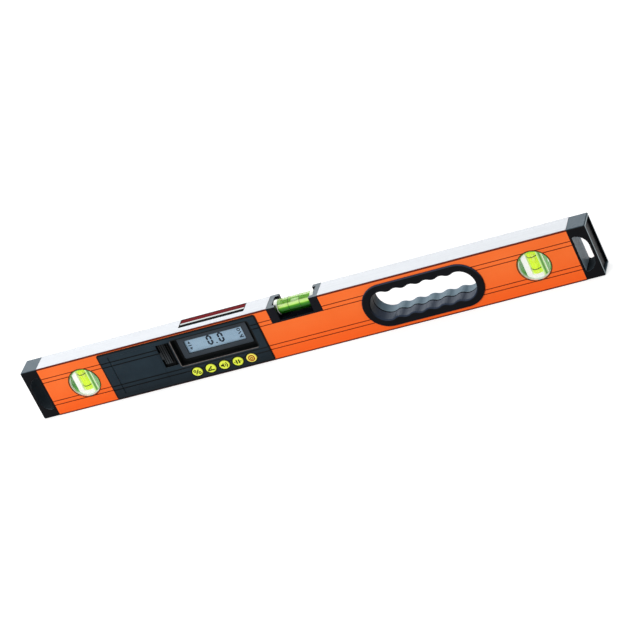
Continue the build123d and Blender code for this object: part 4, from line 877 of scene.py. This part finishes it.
def area_lamp(name, place, size, radiance, colour):
    """A soft box of a given brightness that looks at the object."""
    data = bpy.data.lights.new(name, "AREA")
    data.shape = "RECTANGLE"
    data.size, data.size_y = size
    data.color = colour
    data.energy = radiance * math.pi * size[0] * size[1]
    lamp = bpy.data.objects.new(name, data)
    lamp.location = place
    lamp.rotation_euler = (LAMP_TARGET - Vector(place)).to_track_quat("-Z", "Y").to_euler()
    lamp.visible_camera = False
    bpy.context.scene.collection.objects.link(lamp)


def seen_directly(tree):
    """1 where the camera, a gloss or a clear piece looks, 0 for light that falls on the object."""
    path = tree.nodes.new("ShaderNodeLightPath")
    seen = path.outputs["Is Camera Ray"]
    for ray in ("Is Glossy Ray", "Is Transmission Ray"):
        either = tree.nodes.new("ShaderNodeMath")
        either.operation = "MAXIMUM"
        tree.links.new(seen, either.inputs[0])
        tree.links.new(path.outputs[ray], either.inputs[1])
        seen = either.outputs[0]
    return seen


def make_world():
    """White where it is seen, and a dimmer even fill on the object."""
    world = bpy.data.worlds.new("studio")
    bpy.context.scene.world = world
    world.use_nodes = True
    tree = world.node_tree
    background = tree.nodes["Background"]
    background.inputs["Color"].default_value = (1, 1, 1, 1)
    strength = tree.nodes.new("ShaderNodeMapRange")
    strength.inputs["To Min"].default_value = WORLD_FILL
    strength.inputs["To Max"].default_value = 1.0
    tree.links.new(seen_directly(tree), strength.inputs["Value"])
    tree.links.new(strength.outputs[0], background.inputs["Strength"])


def make_floor():
    """Pale floor that is near white where it is seen, and keeps the object's shadow."""
    half = FLOOR_SIZE / 2
    corners = [(x * half, y * half, -FLOOR_DROP) for x, y in ((-1, -1), (1, -1), (1, 1), (-1, 1))]
    mesh = bpy.data.meshes.new("floor")
    mesh.from_pydata(corners, [], [(0, 1, 2, 3)])
    floor = bpy.data.objects.new("floor", mesh)
    bpy.context.scene.collection.objects.link(floor)
    material = bpy.data.materials.new("floor_white")
    material.use_nodes = True
    tree = material.node_tree
    shader = tree.nodes["Principled BSDF"]
    shader.inputs["Base Color"].default_value = (FLOOR_GREY, FLOOR_GREY, FLOOR_GREY, 1)
    shader.inputs["Roughness"].default_value = 1.0
    shader.inputs["Specular IOR Level"].default_value = 0.0
    shader.inputs["Emission Color"].default_value = (1, 1, 1, 1)
    glow = tree.nodes.new("ShaderNodeMath")
    glow.operation = "MULTIPLY"
    tree.links.new(seen_directly(tree), glow.inputs[0])
    glow.inputs[1].default_value = FLOOR_GLOW
    tree.links.new(glow.outputs[0], shader.inputs["Emission Strength"])
    mesh.materials.append(material)


def make_studio():
    make_world()
    make_floor()
    for lamp in LAMPS:
        area_lamp(*lamp)


def make_camera():
    data = bpy.data.cameras.new("camera")
    data.sensor_fit = "HORIZONTAL"
    data.sensor_width = CAMERA_SENSOR
    data.lens = CAMERA_LENS
    camera = bpy.data.objects.new("camera", data)
    forward = CAMERA_FORWARD.normalized()
    right = forward.cross(CAMERA_UP).normalized()
    up = right.cross(forward)
    turn = Matrix((right, up, -forward)).transposed().to_4x4()
    camera.matrix_world = Matrix.Translation(CAMERA_PLACE) @ turn
    bpy.context.scene.collection.objects.link(camera)
    bpy.context.scene.camera = camera


def main():
    materials = make_materials()
    dress_nodes(materials)
    display_marks(materials)
    button_marks(materials)
    make_studio()
    make_camera()
    bpy.context.scene.view_settings.view_transform = "Standard"


main()
